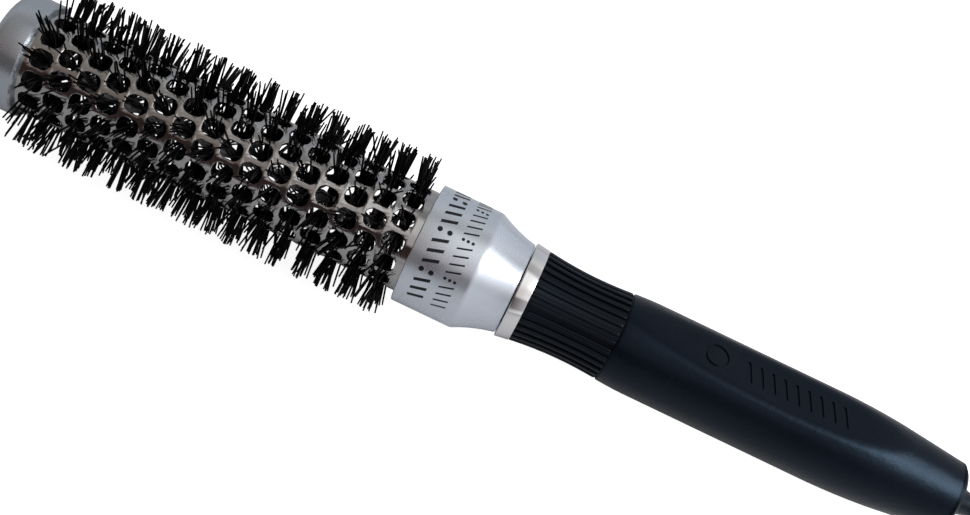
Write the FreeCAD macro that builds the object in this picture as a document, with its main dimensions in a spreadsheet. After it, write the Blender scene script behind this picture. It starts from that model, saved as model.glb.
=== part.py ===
import FreeCAD, Part
import math
import os
import re

import Sketcher

# Round barrel brush for blow-drying: a perforated metal barrel whose bristles stand on a
# twisted-wire stem, a bell-shaped collar, a ribbed neck and a long handle that stores a
# slim sectioning pick.
#
# The brush's axis is X. The tip points along -X and the handle along +X. +Z is the middle
# of the handle's thumb hollow. The origin is on the axis, halfway along the collar's
# cylindrical land. Sizes are in millimetres.

SIZES = {
    # barrel and its perforations
    "barrel_radius": 12.5,
    "barrel_wall": 0.8,
    "column_count": 16,
    "hole_length": 5.0,
    "hole_width": 4.3,
    "hole_corner": 1.7,
    "column_web": 0.9,
    "row_web": 0.9,
    "hole_phase": 4.0,
    "tip_margin": 3.8,
    "collar_margin": 4.5,
    # bristles
    "stem_radius": 1.6,
    "root_radius": 3.2,
    "root_width": 2.6,
    "bristle_reach": 7.5,
    "tuft_gap": 1.1,
    # end cap
    "cap_length": 8.4,
    "cap_skirt": 1.5,
    "cap_overlap": 4.8,
    "cap_rounding": 2.6,
    "cap_bevel": 0.5,
    # collar
    "land_length": 15.2,
    "collar_wall": 2.1,
    "collar_length": 24.9,
    "collar_overlap": 11.0,
    "collar_bend": 35.0,
    "shoulder_rounding": 2.2,
    "neck_wall": 2.8,
    # trim ring
    "trim_length": 3.7,
    "trim_proud": 0.7,
    "trim_fall": 0.5,
    "trim_rounding": 0.35,
    "trim_gap": 0.25,
    # core of the handle
    "core_radius": 8.4,
    "core_tail_radius": 6.4,
    "core_tail_length": 20.0,
    "spigot_radius": 6.0,
    "spigot_length": 5.0,
    # ribbed neck
    "grip_length": 22.0,
    "grip_front_wall": 2.95,
    "grip_rear_wall": 2.5,
    "grip_bend": 95.0,
    "rib_count": 30,
    "rib_height": 0.55,
    "rib_width": 1.35,
    "rib_stop": 0.9,
    # smooth handle
    "sleeve_length": 86.8,
    "sleeve_front_wall": 2.55,
    "sleeve_wall": 2.9,
    "swell_length": 8.0,
    "swell_bend": 92.0,
    "straight_length": 44.4,
    "shoulder_length": 17.7,
    "shoulder_drop": 0.9,
    "shoulder_bend": 174.0,
    "tail_skin": 2.05,
    "tail_rounding": 2.2,
    "tail_wall": 2.4,
    "hollow_count": 2,
    "hollow_depth": 1.64,
    "hollow_bend": 450.0,
    "hollow_centre": 39.4,
    "hollow_length": 78.0,
    # sectioning pick and its socket
    "pick_radius": 1.5,
    "pick_length": 72.0,
    "pick_point": 14.0,
    "pick_point_radius": 0.45,
    "socket_wall": 1.1,
    "socket_floor": 2.0,
    "mouth_depth": 3.4,
    "flange_radius": 4.9,
    "ring_section": 0.45,
    "ring_set": 1.6,
    "knob_radius": 3.85,
    "knob_length": 9.4,
    "knob_waist_radius": 2.6,
    "knob_waist_place": 4.2,
    "knob_ball_radius": 3.5,
    "knob_insert": 6.0,
    # fits
    "seat_gap": 0.02,
    "slide_gap": 0.08,
    "seal_gap": 0.05,
    "end_gap": 0.3,
}

# Sizes that follow from the driving ones.
DERIVED = {
    "barrel_bore": "barrel_radius - barrel_wall",
    "column_pitch": "hole_length + column_web",
    "holes_around": "floor(2 * pi * barrel_bore / (hole_width + row_web))",
    "barrel_exposed": "tip_margin + (column_count - 1) * column_pitch + collar_margin",
    "bristle_radius": "barrel_radius + bristle_reach",
    "tuft_slope": "(hole_width / 2 - tuft_gap) / barrel_radius",
    "tuft_end": "bristle_radius / sqrt(1 + tuft_slope ^ 2)",
    "cap_radius": "barrel_radius + seat_gap + cap_skirt",
    "land_radius": "barrel_radius + seat_gap + collar_wall",
    "core_bore": "core_radius + seat_gap",
    "core_tail_bore": "core_tail_radius + seat_gap",
    "neck_radius": "core_radius + neck_wall",
    "grip_front_radius": "core_radius + grip_front_wall",
    "grip_rear_radius": "core_radius + grip_rear_wall",
    "sleeve_front_radius": "core_radius + sleeve_front_wall",
    "sleeve_radius": "core_radius + sleeve_wall",
    "sleeve_end_radius": "core_tail_radius + tail_skin",
    "hollow_reach": "sleeve_radius - hollow_depth",
    "trim_radius": "neck_radius + trim_proud",
    "socket_bore": "pick_radius + slide_gap",
    "socket_radius": "socket_bore + socket_wall",
    "seal_radius": "pick_radius + ring_section",
    "mouth_bore": "seal_radius + seal_gap",
    "socket_depth": "pick_length + end_gap",
    # places along the axis
    "collar_front": "-land_length / 2",
    "cap_rim": "collar_front - barrel_exposed",
    "tip_face": "cap_rim - cap_length",
    "barrel_front": "cap_rim - cap_overlap",
    "barrel_rear": "collar_front + collar_overlap",
    "barrel_length": "barrel_rear - barrel_front",
    "plug_length": "cap_overlap + tip_margin - hole_length / 2 - end_gap",
    "stem_front": "barrel_front + end_gap",
    "anchor_front": "collar_front + end_gap - collar_margin + hole_length / 2",
    "anchor_length": "barrel_rear - anchor_front",
    "stem_rear": "barrel_rear - spigot_length - 2 * end_gap",
    "stem_length": "stem_rear - stem_front",
    "first_column": "cap_rim + tip_margin",
    "collar_rear": "collar_front + collar_length",
    "trim_front": "collar_rear + trim_gap",
    "grip_front": "collar_rear + trim_length",
    "sleeve_front": "grip_front + grip_length",
    "tail_face": "sleeve_front + sleeve_length",
    "core_front": "barrel_rear - spigot_length",
    "core_rear": "tail_face - tail_wall",
    "core_length": "core_rear - core_front",
    "socket_length": "socket_depth + socket_floor",
    "socket_front": "tail_face - socket_length",
    "knob_front": "tail_face + end_gap",
}

XY_PLANE = "XY_Plane"
XZ_PLANE = "XZ_Plane"
X_AXIS = "X_Axis"
ORIGIN_POINT = -1
ACROSS_AXIS = -1
UP_AXIS = -2

doc = FreeCAD.newDocument("RoundBarrelBrush")


def make_sheet(name, entries):
    """A spreadsheet with one named row per size."""
    sheet = doc.addObject("Spreadsheet::Sheet", name)
    for row, (alias, content) in enumerate(entries.items(), start=1):
        sheet.set(f"A{row}", alias)
        sheet.set(f"B{row}", content)
        sheet.setAlias(f"B{row}", alias)
    doc.recompute()
    return sheet


def linked(text):
    """An expression with each size's name led by its sheet."""
    def lead(match):
        word = match.group()
        if word in SIZES:
            return f"Sizes.{word}"
        if word in DERIVED:
            return f"Layout.{word}"
        return word
    return re.sub(r"[a-z]+(_[a-z]+)+", lead, text)


def same_sheet(text):
    """A formula for the Layout sheet, where its own names need no lead."""
    return "=" + linked(text).replace("Layout.", "")


sizes = make_sheet("Sizes", {name: str(value) for name, value in SIZES.items()})
layout = make_sheet("Layout", {name: same_sheet(text) for name, text in DERIVED.items()})


def number(text):
    """The value that an expression has now."""
    value = layout.evalExpression(linked(text))
    return float(getattr(value, "Value", value))


def new_body(label, front="0", turn="0"):
    """A body placed along the axis at front and turned about it from +Z towards +Y."""
    body = doc.addObject("PartDesign::Body", label)
    body.Label = label
    body.Placement = FreeCAD.Placement(
        FreeCAD.Vector(number(front), 0, 0),
        FreeCAD.Rotation(FreeCAD.Vector(-1, 0, 0), number(turn)),
    )
    body.setExpression(".Placement.Base.x", linked(front))
    return body


def origin_part(body, role):
    """One of the body's own origin planes or axes."""
    return next(item for item in body.Origin.OriginFeatures if item.Role == role)


def new_sketch(body, name, plane):
    """A sketch on one of the body's own origin planes."""
    sketch = body.newObject("Sketcher::SketchObject", name)
    sketch.AttachmentSupport = [(origin_part(body, plane), "")]
    sketch.MapMode = "FlatFace"
    return sketch


def pin_point(sketch, curve, end, across, up):
    """Hold one end of a curve at a place given by two expressions."""
    for axis, kind, text in ((UP_AXIS, "DistanceX", across), (ACROSS_AXIS, "DistanceY", up)):
        if text == "0":
            sketch.addConstraint(Sketcher.Constraint("PointOnObject", curve, end, axis))
            continue
        value = number(text)
        if value < 0:
            sign = "-"
            held = Sketcher.Constraint(kind, curve, end, ORIGIN_POINT, 1, -value)
        else:
            sign = ""
            held = Sketcher.Constraint(kind, ORIGIN_POINT, 1, curve, end, value)
        index = sketch.addConstraint(held)
        sketch.setExpression(f"Constraints[{index}]", sign + linked(f"({text})"))


def bulge_point(start, stop, radius, side):
    """The middle of an arc between two points; side 1 bulges left of the way it runs."""
    chord = stop - start
    rise = radius - math.sqrt(radius ** 2 - (chord.Length / 2) ** 2)
    left = FreeCAD.Vector(-chord.y, chord.x, 0).normalize()
    return (start + stop) / 2 + left * (rise * side)


def draw_outline(sketch, corners):
    """A closed outline through the corners.

    A corner is (across, up), or (across, up, radius, side) where an arc leads to the next.
    """
    places = [FreeCAD.Vector(number(c[0]), number(c[1]), 0) for c in corners]
    ends = []
    for index, corner in enumerate(corners):
        start = places[index]
        stop = places[(index + 1) % len(places)]
        if len(corner) == 2:
            curve = sketch.addGeometry(Part.LineSegment(start, stop))
            ends.append((curve, 1, 2))
            continue
        radius, side = corner[2], corner[3]
        middle = bulge_point(start, stop, number(radius), side)
        if side > 0:
            curve = sketch.addGeometry(Part.Arc(stop, middle, start))
            ends.append((curve, 2, 1))
        else:
            curve = sketch.addGeometry(Part.Arc(start, middle, stop))
            ends.append((curve, 1, 2))
        held = sketch.addConstraint(Sketcher.Constraint("Radius", curve, number(radius)))
        sketch.setExpression(f"Constraints[{held}]", linked(radius))
    for index, (curve, first, last) in enumerate(ends):
        following = ends[(index + 1) % len(ends)]
        joined = Sketcher.Constraint("Coincident", curve, last, following[0], following[1])
        sketch.addConstraint(joined)
        pin_point(sketch, curve, first, corners[index][0], corners[index][1])


def revolve(body, name, corners):
    """Turn an outline of (along, radius) corners about the brush's axis."""
    sketch = new_sketch(body, name + "Outline", XZ_PLANE)
    draw_outline(sketch, corners)
    turned = body.newObject("PartDesign::Revolution", name)
    turned.Profile = sketch
    turned.ReferenceAxis = (origin_part(body, X_AXIS), [""])
    turned.Angle = 360
    doc.recompute()
    return turned


def repeat_around(body, feature, count):
    """Repeat a feature evenly about the brush's axis."""
    pattern = body.newObject("PartDesign::PolarPattern", feature.Name + "Around")
    pattern.Originals = [feature]
    pattern.Axis = (origin_part(body, X_AXIS), [""])
    pattern.Angle = 360
    pattern.Occurrences = int(number(count))
    pattern.setExpression("Occurrences", linked(count))
    body.Tip = pattern
    doc.recompute()


def round_rims(body, feature, along, size, radius=None):
    """Round the circular rims that stand at a place along the axis."""
    names = []
    for index, edge in enumerate(feature.Shape.Edges, start=1):
        if not isinstance(edge.Curve, Part.Circle):
            continue
        near = abs(edge.Curve.Center.x - number(along)) < 1e-4
        right = radius is None or abs(edge.Curve.Radius - number(radius)) < 1e-4
        if near and right:
            names.append(f"Edge{index}")
    rounded = body.newObject("PartDesign::Fillet", feature.Name + "Rounding")
    rounded.Base = (feature, names)
    rounded.Radius = number(size)
    rounded.setExpression("Radius", linked(size))
    doc.recompute()


def stagger(column):
    """1 for the columns turned by half a step: every second one, counted from the collar."""
    return (int(number("column_count")) - 1 - column) % 2


def cut_checked(body, before):
    """Raise if the last cut took nothing away."""
    doc.recompute()
    if body.Shape.Volume > before - 1e-3:
        raise RuntimeError(f"{body.Label}: a cut points away from the solid")


def make_end_cap():
    """Moulded cap over the tip: a thick face and a skirt round the barrel."""
    body = new_body("end_cap", "tip_face")
    floor = "cap_length - cap_overlap"
    turned = revolve(body, "CapTurned", [
        ("0", "0"),
        ("0", "cap_radius"),
        ("cap_length - cap_bevel", "cap_radius"),
        ("cap_length", "cap_radius - cap_bevel"),
        ("cap_length", "barrel_radius + seat_gap"),
        (floor, "barrel_radius + seat_gap"),
        (floor, "0"),
    ])
    round_rims(body, turned, "0", "cap_rounding", "cap_radius")


def make_tip_plug():
    """Plug in the barrel's front end that centres the stem."""
    body = new_body("tip_plug", "barrel_front")
    revolve(body, "PlugTurned", [
        ("0", "0"),
        ("0", "barrel_bore - seat_gap"),
        ("plug_length", "barrel_bore - seat_gap"),
        ("plug_length", "stem_radius + seat_gap"),
        ("end_gap", "stem_radius + seat_gap"),
        ("end_gap", "0"),
    ])


def make_hole_cutter():
    """A short prism with a hole's rounded outline that crosses the barrel's wall on +Z."""
    foot = "sqrt(barrel_bore ^ 2 - hole_width ^ 2 / 4) - end_gap"
    sketch = doc.addObject("Sketcher::SketchObject", "HoleOutline")
    draw_outline(sketch, [
        ("hole_corner", "0"),
        ("hole_length - hole_corner", "0", "hole_corner", -1),
        ("hole_length", "hole_corner"),
        ("hole_length", "hole_width - hole_corner", "hole_corner", -1),
        ("hole_length - hole_corner", "hole_width"),
        ("hole_corner", "hole_width", "hole_corner", -1),
        ("0", "hole_width - hole_corner"),
        ("0", "hole_corner", "hole_corner", -1),
    ])
    cutter = doc.addObject("Part::Extrusion", "HoleCutter")
    cutter.Base = sketch
    cutter.Dir = FreeCAD.Vector(0, 0, 1)
    cutter.Solid = True
    cutter.setExpression("LengthFwd", linked(f"barrel_radius + end_gap - ({foot})"))
    cutter.setExpression(".Placement.Base.z", linked(foot))
    cutter.setExpression(".Placement.Base.x", linked("-hole_length / 2"))
    cutter.setExpression(".Placement.Base.y", linked("-hole_width / 2"))
    doc.recompute()
    return cutter


def make_barrel_tube():
    """Perforated tube; every second column of holes is turned by half a step."""
    blank = new_body("barrel_blank", "barrel_front", "hole_phase")
    revolve(blank, "TubeTurned", [
        ("0", "barrel_bore"),
        ("0", "barrel_radius"),
        ("barrel_length", "barrel_radius"),
        ("barrel_length", "barrel_bore"),
    ])
    prism = make_hole_cutter().Shape
    columns = int(number("column_count"))
    around = int(number("holes_around"))
    tools = []
    for column in range(columns):
        along = number(f"first_column + {column} * column_pitch")
        for step in range(around):
            turn = number("hole_phase") + (step + stagger(column) / 2) * 360 / around
            tool = prism.copy()
            tool.rotate(FreeCAD.Vector(), FreeCAD.Vector(-1, 0, 0), turn)
            tool.translate(FreeCAD.Vector(along, 0, 0))
            tools.append(tool)
    holes = doc.addObject("Part::Feature", "HoleCutters")
    holes.Shape = Part.Compound(tools)
    tube = doc.addObject("Part::Cut", "barrel_tube")
    tube.Label = "barrel_tube"
    tube.Base = blank
    tube.Tool = holes
    doc.recompute()
    if tube.Shape.Volume > blank.Shape.Volume - columns * around:
        raise RuntimeError("barrel_tube: the holes missed the wall")


def make_wire_stem():
    """Twisted-wire stem that carries the bristles, as its round outer shape."""
    body = new_body("wire_stem", "stem_front")
    revolve(body, "StemTurned", [
        ("0", "0"),
        ("0", "stem_radius"),
        ("stem_length", "stem_radius"),
        ("stem_length", "0"),
    ])


def make_bristle_ring(column):
    """One ring of bristle tufts: a root pinched on the stem and a tuft through each hole."""
    label = f"bristle_ring_{column + 1:02d}"
    turn = f"hole_phase + {stagger(column)} * 180 / holes_around"
    body = new_body(label, f"first_column + {column} * column_pitch - root_width / 2", turn)
    revolve(body, "Root", [
        ("0", "stem_radius + seat_gap"),
        ("0", "root_radius"),
        ("root_width", "root_radius"),
        ("root_width", "stem_radius + seat_gap"),
    ])
    sketch = new_sketch(body, "TuftOutline", XZ_PLANE)
    middle = "root_width / 2"
    foot = "(stem_radius + root_radius) / 2"
    draw_outline(sketch, [
        (middle, foot),
        (middle, "tuft_end"),
        (f"{middle} + tuft_slope * tuft_end", "tuft_end"),
        (f"{middle} + tuft_slope * {foot}", foot),
    ])
    tuft = body.newObject("PartDesign::Revolution", "Tuft")
    tuft.Profile = sketch
    tuft.ReferenceAxis = (sketch, ["Edge1"])
    tuft.Angle = 360
    doc.recompute()
    repeat_around(body, tuft, "holes_around")
    return label


def make_stem_anchor():
    """Plug in the barrel's rear end: it holds the stem and the handle core's spigot."""
    body = new_body("stem_anchor", "anchor_front")
    pocket_floor = "anchor_length - spigot_length"
    revolve(body, "AnchorTurned", [
        ("0", "stem_radius + seat_gap"),
        ("0", "barrel_bore - seat_gap"),
        ("anchor_length", "barrel_bore - seat_gap"),
        ("anchor_length", "spigot_radius + seat_gap"),
        (pocket_floor, "spigot_radius + seat_gap"),
        (pocket_floor, "stem_radius + seat_gap"),
    ])


def make_collar():
    """Bell-shaped collar: a cylindrical land, a rounded shoulder and a hollow cone."""
    body = new_body("collar", "collar_front")
    turned = revolve(body, "CollarTurned", [
        ("0", "barrel_radius + seat_gap"),
        ("0", "land_radius"),
        ("land_length", "land_radius", "collar_bend", -1),
        ("collar_length", "neck_radius"),
        ("collar_length", "core_bore"),
        ("collar_overlap", "core_bore"),
        ("collar_overlap", "barrel_radius + seat_gap"),
    ])
    round_rims(body, turned, "land_length", "shoulder_rounding", "land_radius")


def make_trim_ring():
    """Bright ring that stands proud between collar and neck."""
    body = new_body("trim_ring", "trim_front")
    width = "trim_length - trim_gap"
    turned = revolve(body, "TrimTurned", [
        ("0", "core_bore"),
        ("0", "trim_radius"),
        (width, "trim_radius - trim_fall"),
        (width, "core_bore"),
    ])
    round_rims(body, turned, "0", "trim_rounding", "trim_radius")


def make_handle_core():
    """Hard core of the handle, with a spigot in the barrel's plug and a bore for the pick."""
    body = new_body("handle_core", "core_front")
    bore_floor = "socket_front - core_front"
    revolve(body, "CoreTurned", [
        ("0", "0"),
        ("0", "spigot_radius"),
        ("spigot_length", "spigot_radius"),
        ("spigot_length", "core_radius"),
        ("core_length - core_tail_length", "core_radius"),
        ("core_length - core_tail_length", "core_tail_radius"),
        ("core_length", "core_tail_radius"),
        ("core_length", "socket_radius + seat_gap"),
        (bore_floor, "socket_radius + seat_gap"),
        (bore_floor, "0"),
    ])


def make_neck_grip():
    """Rubber neck with long ribs over a shallow waist."""
    body = new_body("neck_grip", "grip_front")
    revolve(body, "NeckTurned", [
        ("0", "core_bore"),
        ("0", "grip_front_radius - rib_height", "grip_bend", -1),
        ("grip_length", "grip_rear_radius - rib_height"),
        ("grip_length", "core_bore"),
    ])
    sketch = new_sketch(body, "RibOutline", XZ_PLANE)
    rib_end = "grip_length - rib_stop"
    draw_outline(sketch, [
        ("0", "core_radius + rib_height"),
        ("0", "grip_front_radius", "grip_bend", -1),
        (rib_end, "grip_rear_radius"),
        (rib_end, "core_radius + rib_height"),
    ])
    rib = body.newObject("PartDesign::Pad", "Rib")
    rib.Profile = sketch
    rib.Midplane = True
    rib.Length = number("rib_width")
    rib.setExpression("Length", linked("rib_width"))
    doc.recompute()
    repeat_around(body, rib, "rib_count")


def make_handle_sleeve():
    """Soft-touch handle: a swell, a straight run, a tapering tail and two thumb hollows."""
    body = new_body("handle_sleeve", "sleeve_front")
    straight_end = "swell_length + straight_length"
    tail_floor = "sleeve_length - tail_wall"
    turned = revolve(body, "SleeveTurned", [
        ("0", "core_bore"),
        ("0", "sleeve_front_radius", "swell_bend", 1),
        ("swell_length", "sleeve_radius"),
        (straight_end, "sleeve_radius", "shoulder_bend", 1),
        (f"{straight_end} + shoulder_length", "sleeve_radius - shoulder_drop"),
        ("sleeve_length", "sleeve_end_radius"),
        ("sleeve_length", "flange_radius + seat_gap"),
        (tail_floor, "flange_radius + seat_gap"),
        (tail_floor, "core_tail_bore"),
        (f"{tail_floor} - core_tail_length", "core_tail_bore"),
        (f"{tail_floor} - core_tail_length", "core_bore"),
    ])
    round_rims(body, turned, "sleeve_length", "tail_rounding", "sleeve_end_radius")
    before = body.Shape.Volume
    sketch = new_sketch(body, "HollowOutline", XZ_PLANE)
    front = "hollow_centre - hollow_length / 2"
    rear = "hollow_centre + hollow_length / 2"
    edge = "hollow_reach + hollow_bend - sqrt(hollow_bend ^ 2 - hollow_length ^ 2 / 4)"
    draw_outline(sketch, [
        (front, edge, "hollow_bend", -1),
        (rear, edge),
        (rear, "2 * sleeve_radius"),
        (front, "2 * sleeve_radius"),
    ])
    hollow = body.newObject("PartDesign::Pocket", "ThumbHollow")
    hollow.Profile = sketch
    hollow.Midplane = True
    hollow.Length = number("2 * sleeve_radius")
    hollow.setExpression("Length", linked("2 * sleeve_radius"))
    cut_checked(body, before)
    repeat_around(body, hollow, "hollow_count")


def make_pick_socket():
    """Flanged liner pressed into the core; it guides the pick and ends in a wider mouth."""
    body = new_body("pick_socket", "socket_front")
    flange_front = "socket_length - tail_wall"
    mouth_floor = "socket_length - mouth_depth"
    revolve(body, "SocketTurned", [
        ("0", "0"),
        ("0", "socket_radius"),
        (flange_front, "socket_radius"),
        (flange_front, "flange_radius"),
        ("socket_length", "flange_radius"),
        ("socket_length", "mouth_bore"),
        (mouth_floor, "mouth_bore"),
        (mouth_floor, "socket_bore"),
        ("socket_floor", "socket_bore"),
        ("socket_floor", "0"),
    ])


def make_pick_shaft():
    """Slim pick with a tapered point, its thick end held in the knob."""
    body = new_body("pick_shaft", "tail_face - pick_length")
    seal_front = "pick_length - ring_set - ring_section"
    seal_rear = "pick_length - ring_set + ring_section"
    whole = "pick_length + end_gap + knob_insert"
    revolve(body, "PickTurned", [
        ("0", "0"),
        ("0", "pick_point_radius"),
        ("pick_point", "pick_radius"),
        (seal_front, "pick_radius"),
        (seal_front, "pick_radius - ring_section"),
        (seal_rear, "pick_radius - ring_section"),
        (seal_rear, "pick_radius"),
        (whole, "pick_radius"),
        (whole, "0"),
    ])


def make_detent_ring():
    """Small rubber ring in the pick's groove that holds the pick in its socket."""
    ring = doc.addObject("Part::Torus", "detent_ring")
    ring.Label = "detent_ring"
    ring.Placement = FreeCAD.Placement(
        FreeCAD.Vector(number("tail_face - ring_set"), 0, 0),
        FreeCAD.Rotation(FreeCAD.Vector(0, 1, 0), 90),
    )
    ring.setExpression(".Placement.Base.x", linked("tail_face - ring_set"))
    ring.setExpression("Radius1", linked("pick_radius"))
    ring.setExpression("Radius2", linked("ring_section"))


def make_pick_knob():
    """Knob on the pick: a seat that carries on the handle's taper, a waist and a ball end."""
    body = new_body("pick_knob", "knob_front")
    revolve(body, "KnobTurned", [
        ("0", "pick_radius + seat_gap"),
        ("0", "knob_radius"),
        ("knob_waist_place", "knob_waist_radius"),
        ("knob_length - knob_ball_radius", "knob_ball_radius", "knob_ball_radius", 1),
        ("knob_length", "0"),
        ("knob_insert", "0"),
        ("knob_insert", "pick_radius + seat_gap"),
    ])


def failed(thing):
    """Whether an object of the document is left in error or without a sound shape."""
    if "Invalid" in thing.State or "Error" in thing.State:
        return True
    shape = getattr(thing, "Shape", None)
    return shape is not None and (shape.isNull() or not shape.isValid())


SINGLE_PIECES = {
    "end_cap": make_end_cap,
    "tip_plug": make_tip_plug,
    "barrel_tube": make_barrel_tube,
    "wire_stem": make_wire_stem,
    "stem_anchor": make_stem_anchor,
    "collar": make_collar,
    "trim_ring": make_trim_ring,
    "handle_core": make_handle_core,
    "neck_grip": make_neck_grip,
    "handle_sleeve": make_handle_sleeve,
    "pick_socket": make_pick_socket,
    "pick_shaft": make_pick_shaft,
    "detent_ring": make_detent_ring,
    "pick_knob": make_pick_knob,
}

for make in SINGLE_PIECES.values():
    make()
rings = [make_bristle_ring(column) for column in range(int(number("column_count")))]
doc.recompute()

for thing in doc.Objects:
    if failed(thing):
        raise RuntimeError(f"{thing.Label} did not rebuild: {thing.State}")

os.makedirs("parts", exist_ok=True)
for label in [*SINGLE_PIECES, *rings]:
    piece = doc.getObjectsByLabel(label)[0]
    if piece.Shape.isNull() or piece.Shape.Volume <= 0:
        raise RuntimeError(f"{label} has no solid")
    piece.Shape.exportStep(f"parts/{label}.step")
    print(label, round(piece.Shape.Volume, 1))
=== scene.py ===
# %% [markdown]
# # Round barrel brush
#
# A round brush for blow-drying: a perforated metal barrel full of nylon bristles, a
# satin collar, a bright trim ring, a ribbed rubber neck and a soft-touch handle with a
# slim pick stored in its tail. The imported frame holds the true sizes, so the lesson
# starts by loading it, and every piece is measured from the frame's own parts.

# %% Load the frame
import math
import random

import bmesh
import bpy
from mathutils import Matrix, Vector


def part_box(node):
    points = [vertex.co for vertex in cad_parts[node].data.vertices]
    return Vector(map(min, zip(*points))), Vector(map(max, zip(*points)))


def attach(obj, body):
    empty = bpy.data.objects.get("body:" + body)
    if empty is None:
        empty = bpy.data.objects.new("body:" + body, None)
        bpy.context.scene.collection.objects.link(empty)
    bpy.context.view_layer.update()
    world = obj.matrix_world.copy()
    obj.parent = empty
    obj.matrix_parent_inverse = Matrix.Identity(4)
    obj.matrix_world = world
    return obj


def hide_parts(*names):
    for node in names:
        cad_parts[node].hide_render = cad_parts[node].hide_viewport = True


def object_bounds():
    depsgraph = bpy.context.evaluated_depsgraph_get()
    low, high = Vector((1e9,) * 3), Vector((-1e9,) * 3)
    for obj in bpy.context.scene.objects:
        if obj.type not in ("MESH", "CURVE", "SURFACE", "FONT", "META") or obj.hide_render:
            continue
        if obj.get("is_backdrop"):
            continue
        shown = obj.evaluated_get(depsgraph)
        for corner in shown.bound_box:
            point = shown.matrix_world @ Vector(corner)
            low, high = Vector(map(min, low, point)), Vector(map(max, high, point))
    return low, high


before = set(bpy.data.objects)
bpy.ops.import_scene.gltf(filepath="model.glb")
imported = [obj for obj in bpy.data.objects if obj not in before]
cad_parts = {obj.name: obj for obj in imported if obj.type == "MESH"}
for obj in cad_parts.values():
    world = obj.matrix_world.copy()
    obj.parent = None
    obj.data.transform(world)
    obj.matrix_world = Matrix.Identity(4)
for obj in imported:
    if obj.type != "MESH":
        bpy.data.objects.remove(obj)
cad_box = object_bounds()
MM = 0.001
print("parts in the frame:", len(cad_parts))

# %% [markdown]
# ## Measuring the frame
#
# The brush's axis is X, with the tip at the low end, so most pieces are turned round X.
# Two numbers describe a turned piece: where it starts and stops along X, and how far it
# reaches from the axis. These helpers read both from a part of the frame.

# %% Helpers that measure
def span(node):
    """Where a part starts and stops along the axis."""
    low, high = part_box(node)
    return low.x, high.x


def reach(node):
    """How far a turned part stands from the axis."""
    low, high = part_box(node)
    return max(high.y, -low.y)


TIP_FACE, CAP_RIM = span("end_cap")
COLLAR_FRONT, COLLAR_REAR = span("collar")
TRIM_FRONT, TRIM_REAR = span("trim_ring")
GRIP_FRONT, GRIP_REAR = span("neck_grip")
SLEEVE_FRONT, TAIL_FACE = span("handle_sleeve")
BARREL_FRONT, BARREL_REAR = span("barrel_tube")
KNOB_FRONT, KNOB_END = span("pick_knob")
BARREL_RADIUS = reach("barrel_tube")
CAP_RADIUS = reach("end_cap")
LAND_RADIUS = reach("collar")
print(f"barrel {2 * BARREL_RADIUS / MM:.1f} mm thick, tail at {TAIL_FACE / MM:.1f} mm")

# %% [markdown]
# ## Selecting in code
#
# Every modelling operator acts on whatever is selected, and loading leaves the frame's
# parts selected. With a mouse one would click on an edge; a script has to say which edge
# it means. So each step first clears the selection, then picks what it means to shape,
# by a test of its place.

# %% Helpers that select
def clear_selection():
    """Leave edit mode with nothing selected."""
    active = bpy.context.object
    if active and active.mode != "OBJECT":
        bpy.ops.object.mode_set(mode="OBJECT")
    bpy.ops.object.select_all(action="DESELECT")


def pick_only(piece):
    """Make one object the selected and active one."""
    clear_selection()
    piece.select_set(True)
    bpy.context.view_layer.objects.active = piece


def start_edit(piece):
    """Enter edit mode on one piece, with everything selected."""
    pick_only(piece)
    bpy.ops.object.mode_set(mode="EDIT")
    bpy.ops.mesh.select_all(action="SELECT")


def end_edit(face_outwards=False):
    """Leave edit mode; on request every face is first turned to look outwards."""
    if face_outwards:
        bpy.ops.mesh.select_all(action="SELECT")
        bpy.ops.mesh.normals_make_consistent(inside=False)
    bpy.ops.object.mode_set(mode="OBJECT")


def select_where(piece, kind, test):
    """Enter edit mode with only the edges, or faces, that pass a test; returns how many."""
    start_edit(piece)
    bpy.ops.mesh.select_mode(type=kind)
    bpy.ops.mesh.select_all(action="DESELECT")
    mesh = bmesh.from_edit_mesh(piece.data)
    passed = [part for part in (mesh.edges if kind == "EDGE" else mesh.faces) if test(part)]
    for part in passed:
        part.select_set(True)
    bmesh.update_edit_mesh(piece.data)
    return len(passed)


# %% [markdown]
# ## Finishing a piece
#
# Modifiers such as an array or a wall thickness are live until they are applied, and a
# finished piece should be plain mesh with its object at the origin, as the frame's parts
# are. These two helpers do that, and tell the frame which body the piece belongs to.

# %% Helpers that finish
def apply_modifier(piece, kind, **settings):
    """Add one modifier, set it up and apply it."""
    pick_only(piece)
    modifier = piece.modifiers.new(kind.title(), kind)
    for name, value in settings.items():
        setattr(modifier, name, value)
    bpy.ops.object.modifier_apply(modifier=modifier.name)


def finish_piece(piece, material, body, *nodes, slot=None, angle=35):
    """Smooth a finished piece, give it its material and let it ride on its body."""
    pick_only(piece)
    bpy.ops.object.transform_apply(location=True, rotation=True, scale=True)
    bpy.ops.object.shade_smooth_by_angle(angle=math.radians(angle))
    piece.data.materials.clear()
    piece.data.materials.append(material)
    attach(piece, body)
    if nodes:
        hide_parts(*nodes)
    print(f"{piece.name}: {len(piece.data.polygons)} faces")
    clear_selection()


# %% [markdown]
# ## Turning a piece
#
# Cap, collar, ring and knob are all turned shapes. On a lathe the tool follows a profile;
# in Blender a circle is extruded from one station of the profile to the next and scaled
# to each radius. A profile is a list of (along, radius) stations, and a rounded corner
# is a few stations on an arc. Where a profile is a closed loop, as for a collar with a
# bore, the last ring of edges is bridged back to the first.

# %% Helpers that turn a profile
WELD = 0.0001 * MM


def arc_stations(along, radius, size, start, stop, steps):
    """Stations on an arc about (along, radius), from angle start to stop in degrees."""
    stations = []
    for step in range(steps + 1):
        angle = math.radians(start + (stop - start) * step / steps)
        stations.append((along + size * math.cos(angle), radius + size * math.sin(angle)))
    return stations


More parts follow.
